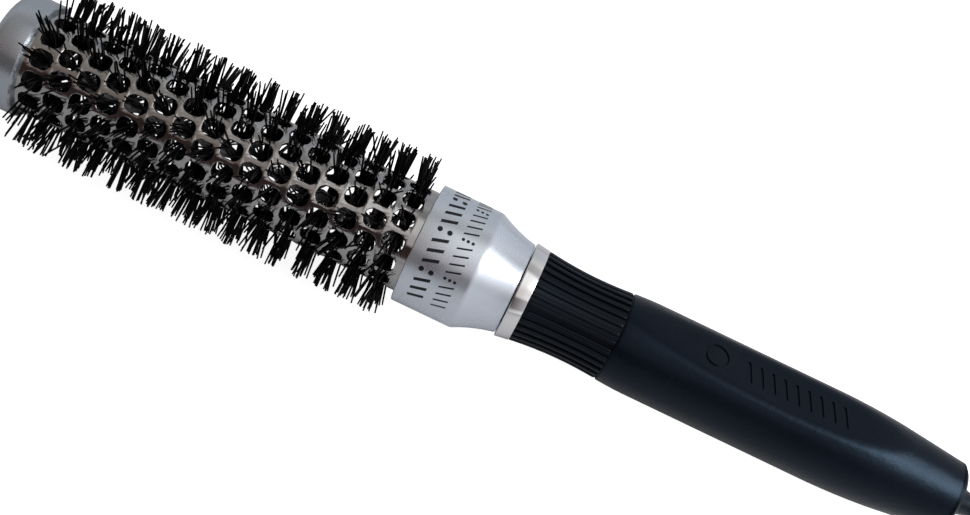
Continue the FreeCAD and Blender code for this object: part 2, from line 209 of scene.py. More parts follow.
def turn(name, stations, sides=128, bored=False):
    """A piece turned about X through its stations; bored joins the last to the first."""
    clear_selection()
    first_along, first_radius = stations[0]
    bpy.ops.mesh.primitive_circle_add(
        vertices=sides, radius=first_radius, location=(first_along, 0, 0),
        rotation=(0, math.pi / 2, 0), fill_type="NOTHING" if bored else "TRIFAN")
    piece = bpy.context.object
    piece.name = name
    bpy.ops.object.transform_apply(location=True, rotation=True, scale=True)
    start_edit(piece)
    if not bored:
        bpy.ops.mesh.region_to_loop()
    along, radius = stations[0]
    for next_along, next_radius in stations[1:]:
        bpy.ops.mesh.extrude_edges_move(
            TRANSFORM_OT_translate={"value": (next_along - along, 0, 0)})
        factor = next_radius / radius
        bpy.ops.transform.resize(
            value=(1, factor, factor), center_override=(next_along, 0, 0))
        along, radius = next_along, next_radius
    if bored:
        bpy.ops.mesh.select_all(action="DESELECT")
        bpy.ops.mesh.select_non_manifold(extend=False)
        bpy.ops.mesh.bridge_edge_loops()
    else:
        bpy.ops.mesh.fill()
        bpy.ops.mesh.poke()
    bpy.ops.mesh.select_all(action="SELECT")
    bpy.ops.mesh.remove_doubles(threshold=WELD)
    end_edit(face_outwards=True)
    return piece


# %% [markdown]
# ## Shared shader effects
#
# Real metal and plastic are never one even colour. Three node groups make the small
# differences that several finishes share. Fine grain varies the roughness, as polishing
# and coating do. Edge wear finds edges by comparing the shading normal with a rounded
# one. Dust and finger marks are large soft patches. Each group only puts out masks;
# every material decides what to do with them.

# %% Helpers that wire nodes
def new_group(name, inputs, outputs):
    """An empty node group with named number inputs and outputs."""
    group = bpy.data.node_groups.new(name, "ShaderNodeTree")
    for label, value in inputs.items():
        socket = group.interface.new_socket(label, in_out="INPUT", socket_type="NodeSocketFloat")
        socket.default_value = value
    for label in outputs:
        group.interface.new_socket(label, in_out="OUTPUT", socket_type="NodeSocketFloat")
    print("shared effect:", name)
    return group, group.nodes.new("NodeGroupInput"), group.nodes.new("NodeGroupOutput")


def add_node(tree, kind, settings=None, **inputs):
    """Add a node, set its properties, and set or link its inputs by name."""
    node = tree.nodes.new(kind)
    for name, value in (settings or {}).items():
        setattr(node, name, value)
    for label, value in inputs.items():
        socket = node.inputs[label.replace("_", " ")]
        if isinstance(value, bpy.types.NodeSocket):
            tree.links.new(value, socket)
        else:
            socket.default_value = value
    return node


def math_node(tree, operation, first, second=0.0, clamp=False):
    """One Math node; returns its result."""
    node = tree.nodes.new("ShaderNodeMath")
    node.operation = operation
    node.use_clamp = clamp
    for socket, value in zip(node.inputs, (first, second)):
        if isinstance(value, bpy.types.NodeSocket):
            tree.links.new(value, socket)
        else:
            socket.default_value = value
    return node.outputs[0]


def vector_node(tree, operation, first, second):
    """One Vector Math node; returns its result."""
    node = add_node(tree, "ShaderNodeVectorMath", {"operation": operation})
    tree.links.new(first, node.inputs[0])
    tree.links.new(second, node.inputs[1])
    return node.outputs[0]


def weighted(tree, mask, weight):
    """A mask made weaker, or stronger, by a plain number."""
    return math_node(tree, "MULTIPLY", mask, weight)


def ramp_node(tree, factor, stops):
    """A colour ramp; each stop is a place with a brightness, or with a colour."""
    node = tree.nodes.new("ShaderNodeValToRGB")
    elements = node.color_ramp.elements
    while len(elements) < len(stops):
        elements.new(0.5)
    for element, (place, tone) in zip(elements, stops):
        element.position = place
        element.color = (*tone, 1) if isinstance(tone, tuple) else (tone, tone, tone, 1)
    tree.links.new(factor, node.inputs[0])
    return node.outputs[0]


# %% Grain: fine speckle and long polishing lines
def make_grain_group():
    """Grain puts out a fine speckle, and lines that run round or along the axis."""
    group, enter, leave = new_group(
        "Grain", {"Speckle Scale": 4000.0, "Line Scale": 900.0, "Stretch": 0.02},
        ("Speckle", "Lines"))
    place = add_node(group, "ShaderNodeTexCoord").outputs["Object"]
    speckle = add_node(group, "ShaderNodeTexNoise", Vector=place,
                       Scale=enter.outputs["Speckle Scale"], Detail=3.0)
    squeeze = add_node(group, "ShaderNodeCombineXYZ", X=1.0,
                       Y=enter.outputs["Stretch"], Z=enter.outputs["Stretch"])
    stretched = vector_node(group, "MULTIPLY", place, squeeze.outputs[0])
    lines = add_node(group, "ShaderNodeTexNoise", Vector=stretched,
                     Scale=enter.outputs["Line Scale"], Detail=4.0)
    group.links.new(speckle.outputs["Fac"], leave.inputs["Speckle"])
    group.links.new(lines.outputs["Fac"], leave.inputs["Lines"])
    return group


GRAIN = make_grain_group()


# %% Wear: a mask along the edges
WEAR_CONTRAST = 6.0


def make_wear_group():
    """Wear is bright along sharp edges, broken up by noise."""
    group, enter, leave = new_group(
        "Edge Wear", {"Width": 0.0004, "Break Up": 700.0}, ("Wear",))
    place = add_node(group, "ShaderNodeTexCoord").outputs["Object"]
    rounded = add_node(group, "ShaderNodeBevel", {"samples": 4}, Radius=enter.outputs["Width"])
    true_normal = add_node(group, "ShaderNodeNewGeometry").outputs["Normal"]
    alike = add_node(group, "ShaderNodeVectorMath", {"operation": "DOT_PRODUCT"})
    group.links.new(rounded.outputs[0], alike.inputs[0])
    group.links.new(true_normal, alike.inputs[1])
    edge = math_node(group, "SUBTRACT", 1.0, alike.outputs["Value"], clamp=True)
    noise = add_node(group, "ShaderNodeTexNoise", Vector=place,
                     Scale=enter.outputs["Break Up"], Detail=3.0)
    broken = math_node(group, "MULTIPLY", edge, noise.outputs["Fac"])
    strong = math_node(group, "MULTIPLY", broken, WEAR_CONTRAST, clamp=True)
    group.links.new(strong, leave.inputs["Wear"])
    return group


EDGE_WEAR = make_wear_group()


# %% Handling: soft patches of dust and finger marks
def make_handling_group():
    """Handling puts out large soft smears and sparse fine dust."""
    group, enter, leave = new_group(
        "Handling", {"Smear Scale": 60.0, "Dust Scale": 2600.0}, ("Smears", "Dust"))
    place = add_node(group, "ShaderNodeTexCoord").outputs["Object"]
    smears = add_node(group, "ShaderNodeTexNoise", Vector=place,
                      Scale=enter.outputs["Smear Scale"], Detail=5.0, Distortion=0.6)
    soft = ramp_node(group, smears.outputs["Fac"], ((0.42, 0.0), (0.68, 1.0)))
    specks = add_node(group, "ShaderNodeTexVoronoi", Vector=place,
                      Scale=enter.outputs["Dust Scale"])
    dust = ramp_node(group, specks.outputs["Distance"], ((0.02, 1.0), (0.10, 0.0)))
    group.links.new(soft, leave.inputs["Smears"])
    group.links.new(dust, leave.inputs["Dust"])
    return group


HANDLING = make_handling_group()

# %% [markdown]
# ## Finishes
#
# One shader with a colour and a roughness would give every metal the same even shine. A
# picture wrapped round the piece would bring detail, but it stretches and needs a file.
# So each finish is worked out from the place on the piece: it starts from the Principled
# shader and lets the shared effects move its colour, roughness and bump a little.

# %% Helpers that start a material
def new_material(name, color, roughness, metallic=0.0, **sockets):
    """A Principled material; keyword sockets are set as plain numbers on the shader."""
    material = bpy.data.materials.new(name)
    material.use_nodes = True
    shader = material.node_tree.nodes["Principled BSDF"]
    shader.inputs["Base Color"].default_value = (*color, 1)
    shader.inputs["Roughness"].default_value = roughness
    shader.inputs["Metallic"].default_value = metallic
    for label, value in sockets.items():
        shader.inputs[label.replace("_", " ")].default_value = value
    print("finish:", name)
    return material, material.node_tree, shader


def place_group(tree, group, **inputs):
    """Place a shared node group in a material with its own numbers."""
    node = tree.nodes.new("ShaderNodeGroup")
    node.node_tree = group
    for label, value in inputs.items():
        node.inputs[label.replace("_", " ")].default_value = value
    return node


def vary_color(tree, shader, mask, color, other, amount=1.0):
    """Let a mask mix the base colour from one tone towards another."""
    mix = tree.nodes.new("ShaderNodeMix")
    mix.data_type = "RGBA"
    mix.inputs["A"].default_value = (*color, 1)
    mix.inputs["B"].default_value = (*other, 1)
    tree.links.new(weighted(tree, mask, amount), mix.inputs["Factor"])
    tree.links.new(mix.outputs["Result"], shader.inputs["Base Color"])


def vary_roughness(tree, shader, mask, low, high):
    """Let a mask move the roughness between two values."""
    scaled = add_node(tree, "ShaderNodeMapRange", Value=mask, To_Min=low, To_Max=high)
    tree.links.new(scaled.outputs["Result"], shader.inputs["Roughness"])


def add_bump(tree, shader, height, strength, distance):
    """Raise a surface by a height mask."""
    bump = add_node(tree, "ShaderNodeBump", Height=height, Strength=strength, Distance=distance)
    tree.links.new(bump.outputs[0], shader.inputs["Normal"])


# %% [markdown]
# ### Polished sheet
#
# The barrel is thin metal, polished until it mirrors the room, with a faint waviness
# left by rolling. Low roughness alone looks like a perfect mirror, so long soft lines
# bend the reflection, and smears dull it in patches.

# %% Polished barrel sheet
def make_barrel_metal():
    """Polished sheet metal, faintly wavy and smeared in patches."""
    color = (0.46, 0.456, 0.454)
    material, tree, shader = new_material("polished_barrel", color, 0.12, 1.0)
    grain = place_group(tree, GRAIN, Speckle_Scale=900.0, Line_Scale=260.0, Stretch=0.25)
    handling = place_group(tree, HANDLING, Smear_Scale=130.0)
    vary_color(tree, shader, handling.outputs["Smears"], color, (0.375, 0.37, 0.365), 0.5)
    rough = math_node(tree, "MULTIPLY", grain.outputs["Lines"], handling.outputs["Smears"])
    vary_roughness(tree, shader, rough, 0.08, 0.24)
    add_bump(tree, shader, grain.outputs["Lines"], 0.10, 0.05 * MM)
    return material


BARREL_METAL = make_barrel_metal()


# %% [markdown]
# ### Satin silver
#
# Collar and cap wear a coat full of fine metal flakes, which blur every reflection into
# a soft glow. The flakes are a speckle in the colour, the roughness and the bump, and
# along edges the coat is rubbed smoother. The cap is a greyer mix of the same coat.

# %% Satin silver for the collar, a greyer one for the cap
def make_satin(name, color, darker, roughness):
    """Metal-flake coat: the flakes glitter a little and blur what they reflect."""
    material, tree, shader = new_material(name, color, roughness, 0.85)
    grain = place_group(tree, GRAIN, Speckle_Scale=9000.0, Line_Scale=1500.0, Stretch=1.0)
    handling = place_group(tree, HANDLING, Smear_Scale=75.0)
    wear = place_group(tree, EDGE_WEAR, Width=0.25 * MM)
    flakes = ramp_node(tree, grain.outputs["Speckle"], ((0.35, 0.0), (0.65, 1.0)))
    vary_color(tree, shader, flakes, darker, color)
    rough = math_node(tree, "ADD", weighted(tree, flakes, 0.4),
                      weighted(tree, handling.outputs["Smears"], 0.6))
    worn = math_node(tree, "SUBTRACT", rough, wear.outputs["Wear"], clamp=True)
    vary_roughness(tree, shader, worn, roughness - 0.07, roughness + 0.08)
    add_bump(tree, shader, grain.outputs["Speckle"], 0.12, 0.03 * MM)
    return material


COLLAR_SATIN = make_satin("satin_collar", (0.745, 0.81, 0.90), (0.66, 0.715, 0.79), 0.30)
CAP_SATIN = make_satin("satin_cap", (0.50, 0.545, 0.60), (0.43, 0.47, 0.52), 0.28)


# %% [markdown]
# ### Plating
#
# The trim ring is plated and the brightest thing on the brush. Plating is nearly a
# mirror; what makes it look real are the hairlines of polishing, which run round it.

# %% Plated trim ring
def make_chrome():
    """Bright plating with hairlines round the ring."""
    color = (0.86, 0.86, 0.87)
    material, tree, shader = new_material("plated_trim", color, 0.05, 1.0)
    grain = place_group(tree, GRAIN, Speckle_Scale=1500.0, Line_Scale=5000.0, Stretch=0.02)
    handling = place_group(tree, HANDLING, Smear_Scale=220.0)
    hairlines = ramp_node(tree, grain.outputs["Lines"], ((0.60, 0.0), (0.66, 1.0)))
    rough = math_node(tree, "MAXIMUM", weighted(tree, hairlines, 0.5),
                      weighted(tree, handling.outputs["Smears"], 0.7))
    vary_roughness(tree, shader, rough, 0.07, 0.18)
    vary_color(tree, shader, hairlines, color, (0.70, 0.70, 0.72), 0.35)
    return material


TRIM_CHROME = make_chrome()


# %% [markdown]
# ### Galvanised wire
#
# The stem's wire is dull zinc. Only glimpses of it show through the holes, so a blotchy
# tone and a broken roughness are enough.

# %% Galvanised wire
def make_wire_metal():
    """Dull zinc with a blotchy tone."""
    color = (0.42, 0.42, 0.44)
    material, tree, shader = new_material("galvanised_wire", color, 0.4, 1.0)
    grain = place_group(tree, GRAIN, Speckle_Scale=3000.0, Line_Scale=800.0, Stretch=0.3)
    vary_color(tree, shader, grain.outputs["Speckle"], color, (0.25, 0.25, 0.27))
    vary_roughness(tree, shader, grain.outputs["Lines"], 0.28, 0.55)
    add_bump(tree, shader, grain.outputs["Speckle"], 0.2, 0.04 * MM)
    return material


WIRE_METAL = make_wire_metal()

# %% [markdown]
# ### Soft-touch coat
#
# Black is never only black. The handle is a navy black with a velvety coat, worn a
# little smoother where the hand holds it. A sheen would lighten its outline all round;
# the real coat only turns bluish where it mirrors light, so its specular tint is blue.

# %% Soft-touch handle
def make_soft_touch():
    """Navy-black coat with a bluish, mottled reflection."""
    color = (0.0020, 0.0026, 0.0056)
    material, tree, shader = new_material(
        "soft_touch", color, 0.32, Specular_IOR_Level=0.25,
        Specular_Tint=(0.44, 0.70, 1.0, 1.0))
    grain = place_group(tree, GRAIN, Speckle_Scale=2600.0, Line_Scale=520.0, Stretch=1.0)
    handling = place_group(tree, HANDLING, Smear_Scale=45.0, Dust_Scale=900.0)
    wear = place_group(tree, EDGE_WEAR, Width=0.5 * MM, Break_Up=300.0)
    pale = math_node(tree, "MAXIMUM", weighted(tree, handling.outputs["Dust"], 0.35),
                     weighted(tree, wear.outputs["Wear"], 0.4))
    tone = math_node(tree, "ADD", pale, weighted(tree, handling.outputs["Smears"], 0.25))
    vary_color(tree, shader, tone, color, (0.008, 0.010, 0.015))
    rough = math_node(tree, "SUBTRACT", grain.outputs["Speckle"],
                      weighted(tree, handling.outputs["Smears"], 0.35), clamp=True)
    vary_roughness(tree, shader, rough, 0.26, 0.40)
    mottle = math_node(tree, "ADD", weighted(tree, grain.outputs["Speckle"], 0.4),
                       weighted(tree, grain.outputs["Lines"], 1.6))
    add_bump(tree, shader, mottle, 0.42, 0.10 * MM)
    return material


SOFT_TOUCH = make_soft_touch()


# %% [markdown]
# ### Neck rubber
#
# The ribbed neck is denser rubber than the handle's coat and collects a little dust. It
# has the same navy black with a finer speckle and a weaker tint.

# %% Neck rubber
def make_neck_rubber():
    """Dense black rubber with a little dust."""
    color = (0.0016, 0.0022, 0.0050)
    material, tree, shader = new_material("neck_rubber", color, 0.34, Specular_IOR_Level=0.24,
                                          Specular_Tint=(0.66, 0.84, 1.0, 1.0))
    grain = place_group(tree, GRAIN, Speckle_Scale=5200.0, Line_Scale=700.0, Stretch=1.0)
    handling = place_group(tree, HANDLING, Smear_Scale=90.0, Dust_Scale=1400.0)
    vary_color(tree, shader, handling.outputs["Dust"], color, (0.012, 0.013, 0.017), 0.5)
    rough = math_node(tree, "ADD", weighted(tree, grain.outputs["Speckle"], 0.6),
                      weighted(tree, handling.outputs["Smears"], 0.4))
    vary_roughness(tree, shader, rough, 0.28, 0.44)
    add_bump(tree, shader, grain.outputs["Speckle"], 0.3, 0.05 * MM)
    return material


NECK_RUBBER = make_neck_rubber()


# %% [markdown]
# ### Nylon
#
# Nylon filament is smooth and glossy, so each one shows a thin glint. The glint comes
# from the round filament itself; the finish only keeps the many glints from being equal.

# %% Nylon filament
def make_nylon():
    """Glossy black filament whose tone varies along it."""
    color = (0.0010, 0.0010, 0.0016)
    material, tree, shader = new_material("black_nylon", color, 0.30, Specular_IOR_Level=0.12)
    grain = place_group(tree, GRAIN, Speckle_Scale=1800.0, Line_Scale=500.0, Stretch=1.0)
    vary_color(tree, shader, grain.outputs["Lines"], color, (0.0028, 0.0028, 0.0042), 0.6)
    vary_roughness(tree, shader, grain.outputs["Speckle"], 0.22, 0.42)
    return material


BLACK_NYLON = make_nylon()


# %% [markdown]
# ### Hard plastics, seal and ink
#
# The pick and its knob are glossy plastic, the hidden mouldings are plain grey-black
# plastic, the seal is rubber and the print is matt ink. They differ in tone, gloss and
# grain only, so one function with those numbers makes all four.

# %% Hard plastics, seal and ink
def make_plastic(name, color, low, high, bump, **sockets):
    """Moulded plastic or rubber whose gloss and tone vary a little."""
    material, tree, shader = new_material(name, color, low, **sockets)
    grain = place_group(tree, GRAIN, Speckle_Scale=3600.0, Line_Scale=500.0, Stretch=1.0)
    handling = place_group(tree, HANDLING, Smear_Scale=140.0)
    paler = tuple(2.0 * part + 0.006 for part in color)
    vary_color(tree, shader, handling.outputs["Smears"], color, paler, 0.5)
    vary_roughness(tree, shader, handling.outputs["Smears"], low, high)
    add_bump(tree, shader, grain.outputs["Speckle"], bump, 0.04 * MM)
    return material


GLOSS_PLASTIC = make_plastic("gloss_plastic", (0.002, 0.003, 0.006), 0.14, 0.28, 0.06,
                             Specular_IOR_Level=0.35, Specular_Tint=(0.62, 0.80, 1.0, 1.0))
INNER_PLASTIC = make_plastic("inner_plastic", (0.045, 0.045, 0.050), 0.45, 0.62, 0.20)
SEAL_RUBBER = make_plastic("seal_rubber", (0.015, 0.015, 0.015), 0.50, 0.70, 0.25)
PRINT_INK = make_plastic("print_ink", (0.004, 0.005, 0.009), 0.40, 0.55, 0.15,
                         Specular_IOR_Level=0.3)

# %% [markdown]
# ## Parts that keep their frame shape
#
# Plugs, core, socket liner, pick and seal are plain turned shapes, already right in the
# frame and mostly hidden. They could be modelled again with more detail, but nobody
# would see it, so they only get their finish.

# %% Finish the kept parts
KEPT_FINISHES = {
    "tip_plug": INNER_PLASTIC,
    "stem_anchor": INNER_PLASTIC,
    "handle_core": INNER_PLASTIC,
    "pick_socket": GLOSS_PLASTIC,
    "pick_shaft": GLOSS_PLASTIC,
    "detent_ring": SEAL_RUBBER,
}
for node, material in KEPT_FINISHES.items():
    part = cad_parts[node]
    part.data.materials.clear()
    part.data.materials.append(material)
print("kept:", sorted(KEPT_FINISHES))

# %% [markdown]
# ## End cap
#
# A moulded cup over the tip of the barrel. It is turned from its flat face round the
# side to the rim and back down the inside of its skirt. The face edge is rounded
# generously, and the rim has a narrow bevel that catches the light as a thin line. The
# rounding could be part of the profile, but a bevel keeps its size when the profile
# changes, so each rim is picked by its place and bevelled.

# %% Helper that bevels a rim
NEAR = 0.001 * MM


def bevel_rim(piece, along, radius, size, segments):
    """Round the circular edge of a turned piece at one place."""
    def on_rim(edge):
        return all(abs(v.co.x - along) < NEAR and abs(v.co.yz.length - radius) < NEAR
                   for v in edge.verts)
    chosen = select_where(piece, "EDGE", on_rim)
    bpy.ops.mesh.bevel(offset=size, segments=segments, profile=0.5, affect="EDGES")
    end_edit()
    print(f"{piece.name}: rounded {chosen} edges by {size / MM:.2f} mm")


# %% Model the end cap
CAP_BEVEL = 0.5 * MM
CAP_LINE = 0.12 * MM
CAP_ROUNDING = 2.6 * MM
CAP_SKIRT_DEPTH = 4.8 * MM
SEAT_GAP = 0.02 * MM
BARREL_SEAT = BARREL_RADIUS + SEAT_GAP

end_cap = turn("end_cap_shell", [
    (TIP_FACE, CAP_RADIUS),
    (CAP_RIM - CAP_BEVEL, CAP_RADIUS),
    (CAP_RIM, CAP_RADIUS - CAP_BEVEL),
    (CAP_RIM, BARREL_SEAT),
    (CAP_RIM - CAP_SKIRT_DEPTH, BARREL_SEAT),
])
bevel_rim(end_cap, TIP_FACE, CAP_RADIUS, CAP_ROUNDING, 10)
bevel_rim(end_cap, CAP_RIM - CAP_BEVEL, CAP_RADIUS, CAP_LINE, 2)
finish_piece(end_cap, CAP_SATIN, "brush", "end_cap", slot="cap_satin")

# %% [markdown]
# ## Perforated barrel
#
# The barrel is one sheet of metal with rows of rounded holes, every other row shifted by
# half a step, rolled into a tube. Cutting two hundred holes in a tube with booleans is
# slow and leaves ragged edges. So one tile of sheet with its hole is made flat, copied
# into a grid, and the finished sheet is rolled up. The lips of the holes then get a small
# bevel, because the thin bright line round each hole is what makes it look like metal.

# %% Measures of the sheet
COLUMNS = 16
HOLES_ROUND = 14
PITCH = 5.9 * MM
FIRST_COLUMN = -100.6 * MM
HOLE_LENGTH = 5.0 * MM
HOLE_WIDTH = 4.3 * MM
HOLE_CORNER = 1.7 * MM
HOLE_PHASE = math.radians(4)
SHEET_WALL = 0.8 * MM
SHEET_WELD = 0.01 * MM
LIP_ROUNDING = 0.15 * MM
TILE_WIDTH = 2 * math.pi * BARREL_RADIUS / HOLES_ROUND


def is_shifted(column):
    """Every other column is shifted by half a hole."""
    return (COLUMNS - 1 - column) % 2 == 1


def column_place(column):
    """Where a column of holes sits along the axis."""
    return FIRST_COLUMN + PITCH * column


def hole_angle(column, index):
    """The turn from the top, towards +Y, at which a hole sits."""
    shift = 0.5 if is_shifted(column) else 0.0
    return HOLE_PHASE + (index + shift) * 2 * math.pi / HOLES_ROUND


print(f"tile {PITCH / MM:.2f} x {TILE_WIDTH / MM:.2f} mm, {COLUMNS * HOLES_ROUND} holes")


# %% Helpers for flat work
def flat_rectangle(length, width):
    """A rectangle in the XY plane, centred on the origin."""
    clear_selection()
    bpy.ops.mesh.primitive_plane_add(size=1)
    sheet = bpy.context.object
    sheet.scale = (length, width, 1)
    bpy.ops.object.transform_apply(scale=True)
    return sheet


def move_in_edit(piece, x=0.0, y=0.0):
    """Move a whole mesh, leaving the object at the origin."""
    start_edit(piece)
    bpy.ops.transform.translate(value=(x, y, 0))
    end_edit()


def weld(piece, threshold, face_outwards=False):
    """Merge the corners of a piece that are closer than a threshold."""
    start_edit(piece)
    bpy.ops.mesh.remove_doubles(threshold=threshold)
    end_edit(face_outwards)


def repeat(piece, count, x=0.0, y=0.0):
    """Array a piece at an even step and weld the copies together."""
    apply_modifier(piece, "ARRAY", count=count, use_relative_offset=False,
                   use_constant_offset=True, constant_offset_displace=(x, y, 0),
                   use_merge_vertices=True, merge_threshold=SHEET_WELD)


def copy_piece(piece, name):
    """A copy with its own mesh."""
    copied = piece.copy()
    copied.data = piece.data.copy()
    copied.name = name
    bpy.context.collection.objects.link(copied)
    return copied


def join_pieces(first, *others):
    """Join pieces into the first."""
    pick_only(first)
    for other in others:
        other.select_set(True)
    bpy.ops.object.join()
    return first


# %% One flat tile with its hole
def make_tile():
    """A tile in the XY plane: X runs along the barrel, Y round it."""
    outer = flat_rectangle(PITCH, TILE_WIDTH)
    start_edit(outer)
    bpy.ops.mesh.delete(type="ONLY_FACE")
    bpy.ops.mesh.select_all(action="SELECT")
    bpy.ops.mesh.subdivide(number_cuts=7)
    end_edit()
    inner = flat_rectangle(HOLE_LENGTH, HOLE_WIDTH)
    start_edit(inner)
    bpy.ops.mesh.bevel(offset=HOLE_CORNER, segments=7, affect="VERTICES")
    bpy.ops.mesh.delete(type="ONLY_FACE")
    end_edit()
    framed = join_pieces(outer, inner)
    start_edit(framed)
    bpy.ops.mesh.bridge_edge_loops()
    end_edit(face_outwards=True)
    return framed


tile = make_tile()
print("tile faces:", len(tile.data.polygons), "corners:", len(tile.data.vertices))

# %% Copy the tile into columns
repeat(tile, HOLES_ROUND, y=TILE_WIDTH)
plain_column = copy_piece(tile, "plain_column")
move_in_edit(tile, FIRST_COLUMN, (HOLE_PHASE * BARREL_RADIUS) + TILE_WIDTH / 2)
move_in_edit(plain_column, FIRST_COLUMN + PITCH, HOLE_PHASE * BARREL_RADIUS)
barrel = join_pieces(tile, plain_column)
barrel.name = "perforated_barrel"
repeat(barrel, COLUMNS // 2, x=2 * PITCH)
weld(barrel, SHEET_WELD)
print("flat sheet faces:", len(barrel.data.polygons))


# %% Plain ends of the sheet
def edge_across(along, near=NEAR):
    """A test for edges that lie across the axis at one place."""
    return lambda edge: all(abs(v.co.x - along) < near for v in edge.verts)


def extend_end(piece, edge_place, new_place):
    """Extrude the sheet's end edge along the axis to a new place."""
    chosen = select_where(piece, "EDGE", edge_across(edge_place, SHEET_WELD))
    bpy.ops.mesh.extrude_edges_move(
        TRANSFORM_OT_translate={"value": (new_place - edge_place, 0, 0)})
    end_edit()
    print(f"{chosen} edges drawn out to {new_place / MM:.1f} mm")


front_edge = column_place(0) - PITCH / 2
rear_edge = column_place(COLUMNS - 1) + PITCH / 2
under_cap = CAP_RIM + 0.2 * MM
extend_end(barrel, front_edge, under_cap)
extend_end(barrel, under_cap, BARREL_FRONT)
extend_end(barrel, rear_edge, COLLAR_FRONT)
extend_end(barrel, COLLAR_FRONT, BARREL_REAR)


# %% Roll the sheet into a tube
def roll_up(piece, radius):
    """Carry each corner of a flat piece onto a tube; Y becomes the way round."""
    for corner in piece.data.vertices:
        angle = corner.co.y / radius
        height = radius + corner.co.z
        corner.co.y = height * math.sin(angle)
        corner.co.z = height * math.cos(angle)
    piece.data.update()


roll_up(barrel, BARREL_RADIUS)
weld(barrel, 2 * SHEET_WELD, face_outwards=True)
outward = sum(face.normal.y * face.center.y + face.normal.z * face.center.z > 0
              for face in barrel.data.polygons)
print("faces that look outwards:", outward, "of", len(barrel.data.polygons))

# %% Give the sheet its wall and rounded lips
apply_modifier(barrel, "SOLIDIFY", thickness=SHEET_WALL, offset=-1.0)
apply_modifier(barrel, "BEVEL", width=LIP_ROUNDING, segments=2, limit_method="ANGLE",
               angle_limit=math.radians(60))
finish_piece(barrel, BARREL_METAL, "brush", "barrel_tube", slot="barrel_metal", angle=50)
apply_modifier(barrel, "WEIGHTED_NORMAL", keep_sharp=True)
clear_selection()

# %% [markdown]
# ## Twisted wire stem
#
# Inside the barrel two wires are twisted together and grip the bristles between them. A
# rod with a bumpy texture would do from far away, but the gap between the wires shows
# through the holes. So a circle for each wire is swept along the axis while it turns,
# which is what the Screw modifier does.

# %% Twist the stem
STEM_FRONT, STEM_REAR = span("wire_stem")
STEM_RADIUS = reach("wire_stem")
TWISTS = 11
STEPS_EACH_TWIST = 18
WIRE_SIDES = 10

clear_selection()
wires = []
for side in (-1, 1):
    bpy.ops.mesh.primitive_circle_add(
        vertices=WIRE_SIDES, radius=STEM_RADIUS / 2, rotation=(0, math.pi / 2, 0),
        location=(STEM_FRONT, 0, side * STEM_RADIUS / 2))
    wires.append(bpy.context.object)
    bpy.ops.object.transform_apply(location=True, rotation=True, scale=True)
stem = join_pieces(*wires)
stem.name = "twisted_stem"
pick_only(stem)
bpy.context.scene.cursor.location = (0, 0, 0)
bpy.ops.object.origin_set(type="ORIGIN_CURSOR")
apply_modifier(stem, "SCREW", axis="X", angle=2 * math.pi * TWISTS,
               screw_offset=STEM_REAR - STEM_FRONT, steps=TWISTS * STEPS_EACH_TWIST,
               render_steps=TWISTS * STEPS_EACH_TWIST, use_merge_vertices=False)
for place in (STEM_FRONT, STEM_REAR):
    print("stem end edges:", select_where(stem, "EDGE", edge_across(place)))
    bpy.ops.mesh.edge_face_add()
end_edit(face_outwards=True)
finish_piece(stem, WIRE_METAL, "brush", "wire_stem", slot="stem_wire")

# %% [markdown]
# ## Bristles
#
# A tuft of nylon filaments leaves the stem behind each hole, squeezes through it and fans
# out beyond. No two filaments run alike, but a comb of evenly long tips is what the eye
# sees. Hair particles would give the look, but no mesh that other programs can read. So
# one filament of few faces is modelled, and copied along a path of its own through each
# hole. The random numbers start from a fixed seed, so the tufts come out the same each
# time.

# %% One filament
FILAMENT_RADIUS = 0.25 * MM
FILAMENTS_EACH_HOLE = 8
FILAMENT_SECTIONS = 4
FILAMENT_TAPER = 0.8


def make_filament():
    """A five-sided rod from z = 0 to z = 1, cut into sections so that it can bend."""
    clear_selection()
    bpy.ops.mesh.primitive_circle_add(vertices=5, radius=FILAMENT_RADIUS, fill_type="NGON")
    rod = bpy.context.object
    rod.name = "filament"
    start_edit(rod)
    for _ in range(FILAMENT_SECTIONS):
        bpy.ops.mesh.extrude_region_move(
            TRANSFORM_OT_translate={"value": (0, 0, 1 / FILAMENT_SECTIONS)})
    bpy.ops.transform.resize(value=(FILAMENT_TAPER, FILAMENT_TAPER, 1))
    end_edit(face_outwards=True)
    return rod


filament = make_filament()
print("filament faces:", len(filament.data.polygons))


# %% Paths through the holes
ROOT_SCATTER = 1.0 * MM
ROOT_TURN = 0.5
REACH_ALONG = 1.75 * MM
REACH_ROUND = 1.45 * MM
TUFT_LEAN = 0.08
CALM_LEAN = 0.055
UNRULY_LEAN = 0.20
UNRULY_SHARE = 0.10
FAN_OUT = 0.45
TIP_LOW = 19.0 * MM
TIP_HIGH = 19.95 * MM
FIRST_GUESS = 6.0 * MM


def around(along, radius, angle):
    """A point given by its place on the axis, its radius and its turn from the top."""
    return Vector((along, radius * math.sin(angle), radius * math.cos(angle)))


def any_way(dice, strength):
    """A small random lean."""
    return Vector([dice.gauss(0, strength) for _ in range(3)])


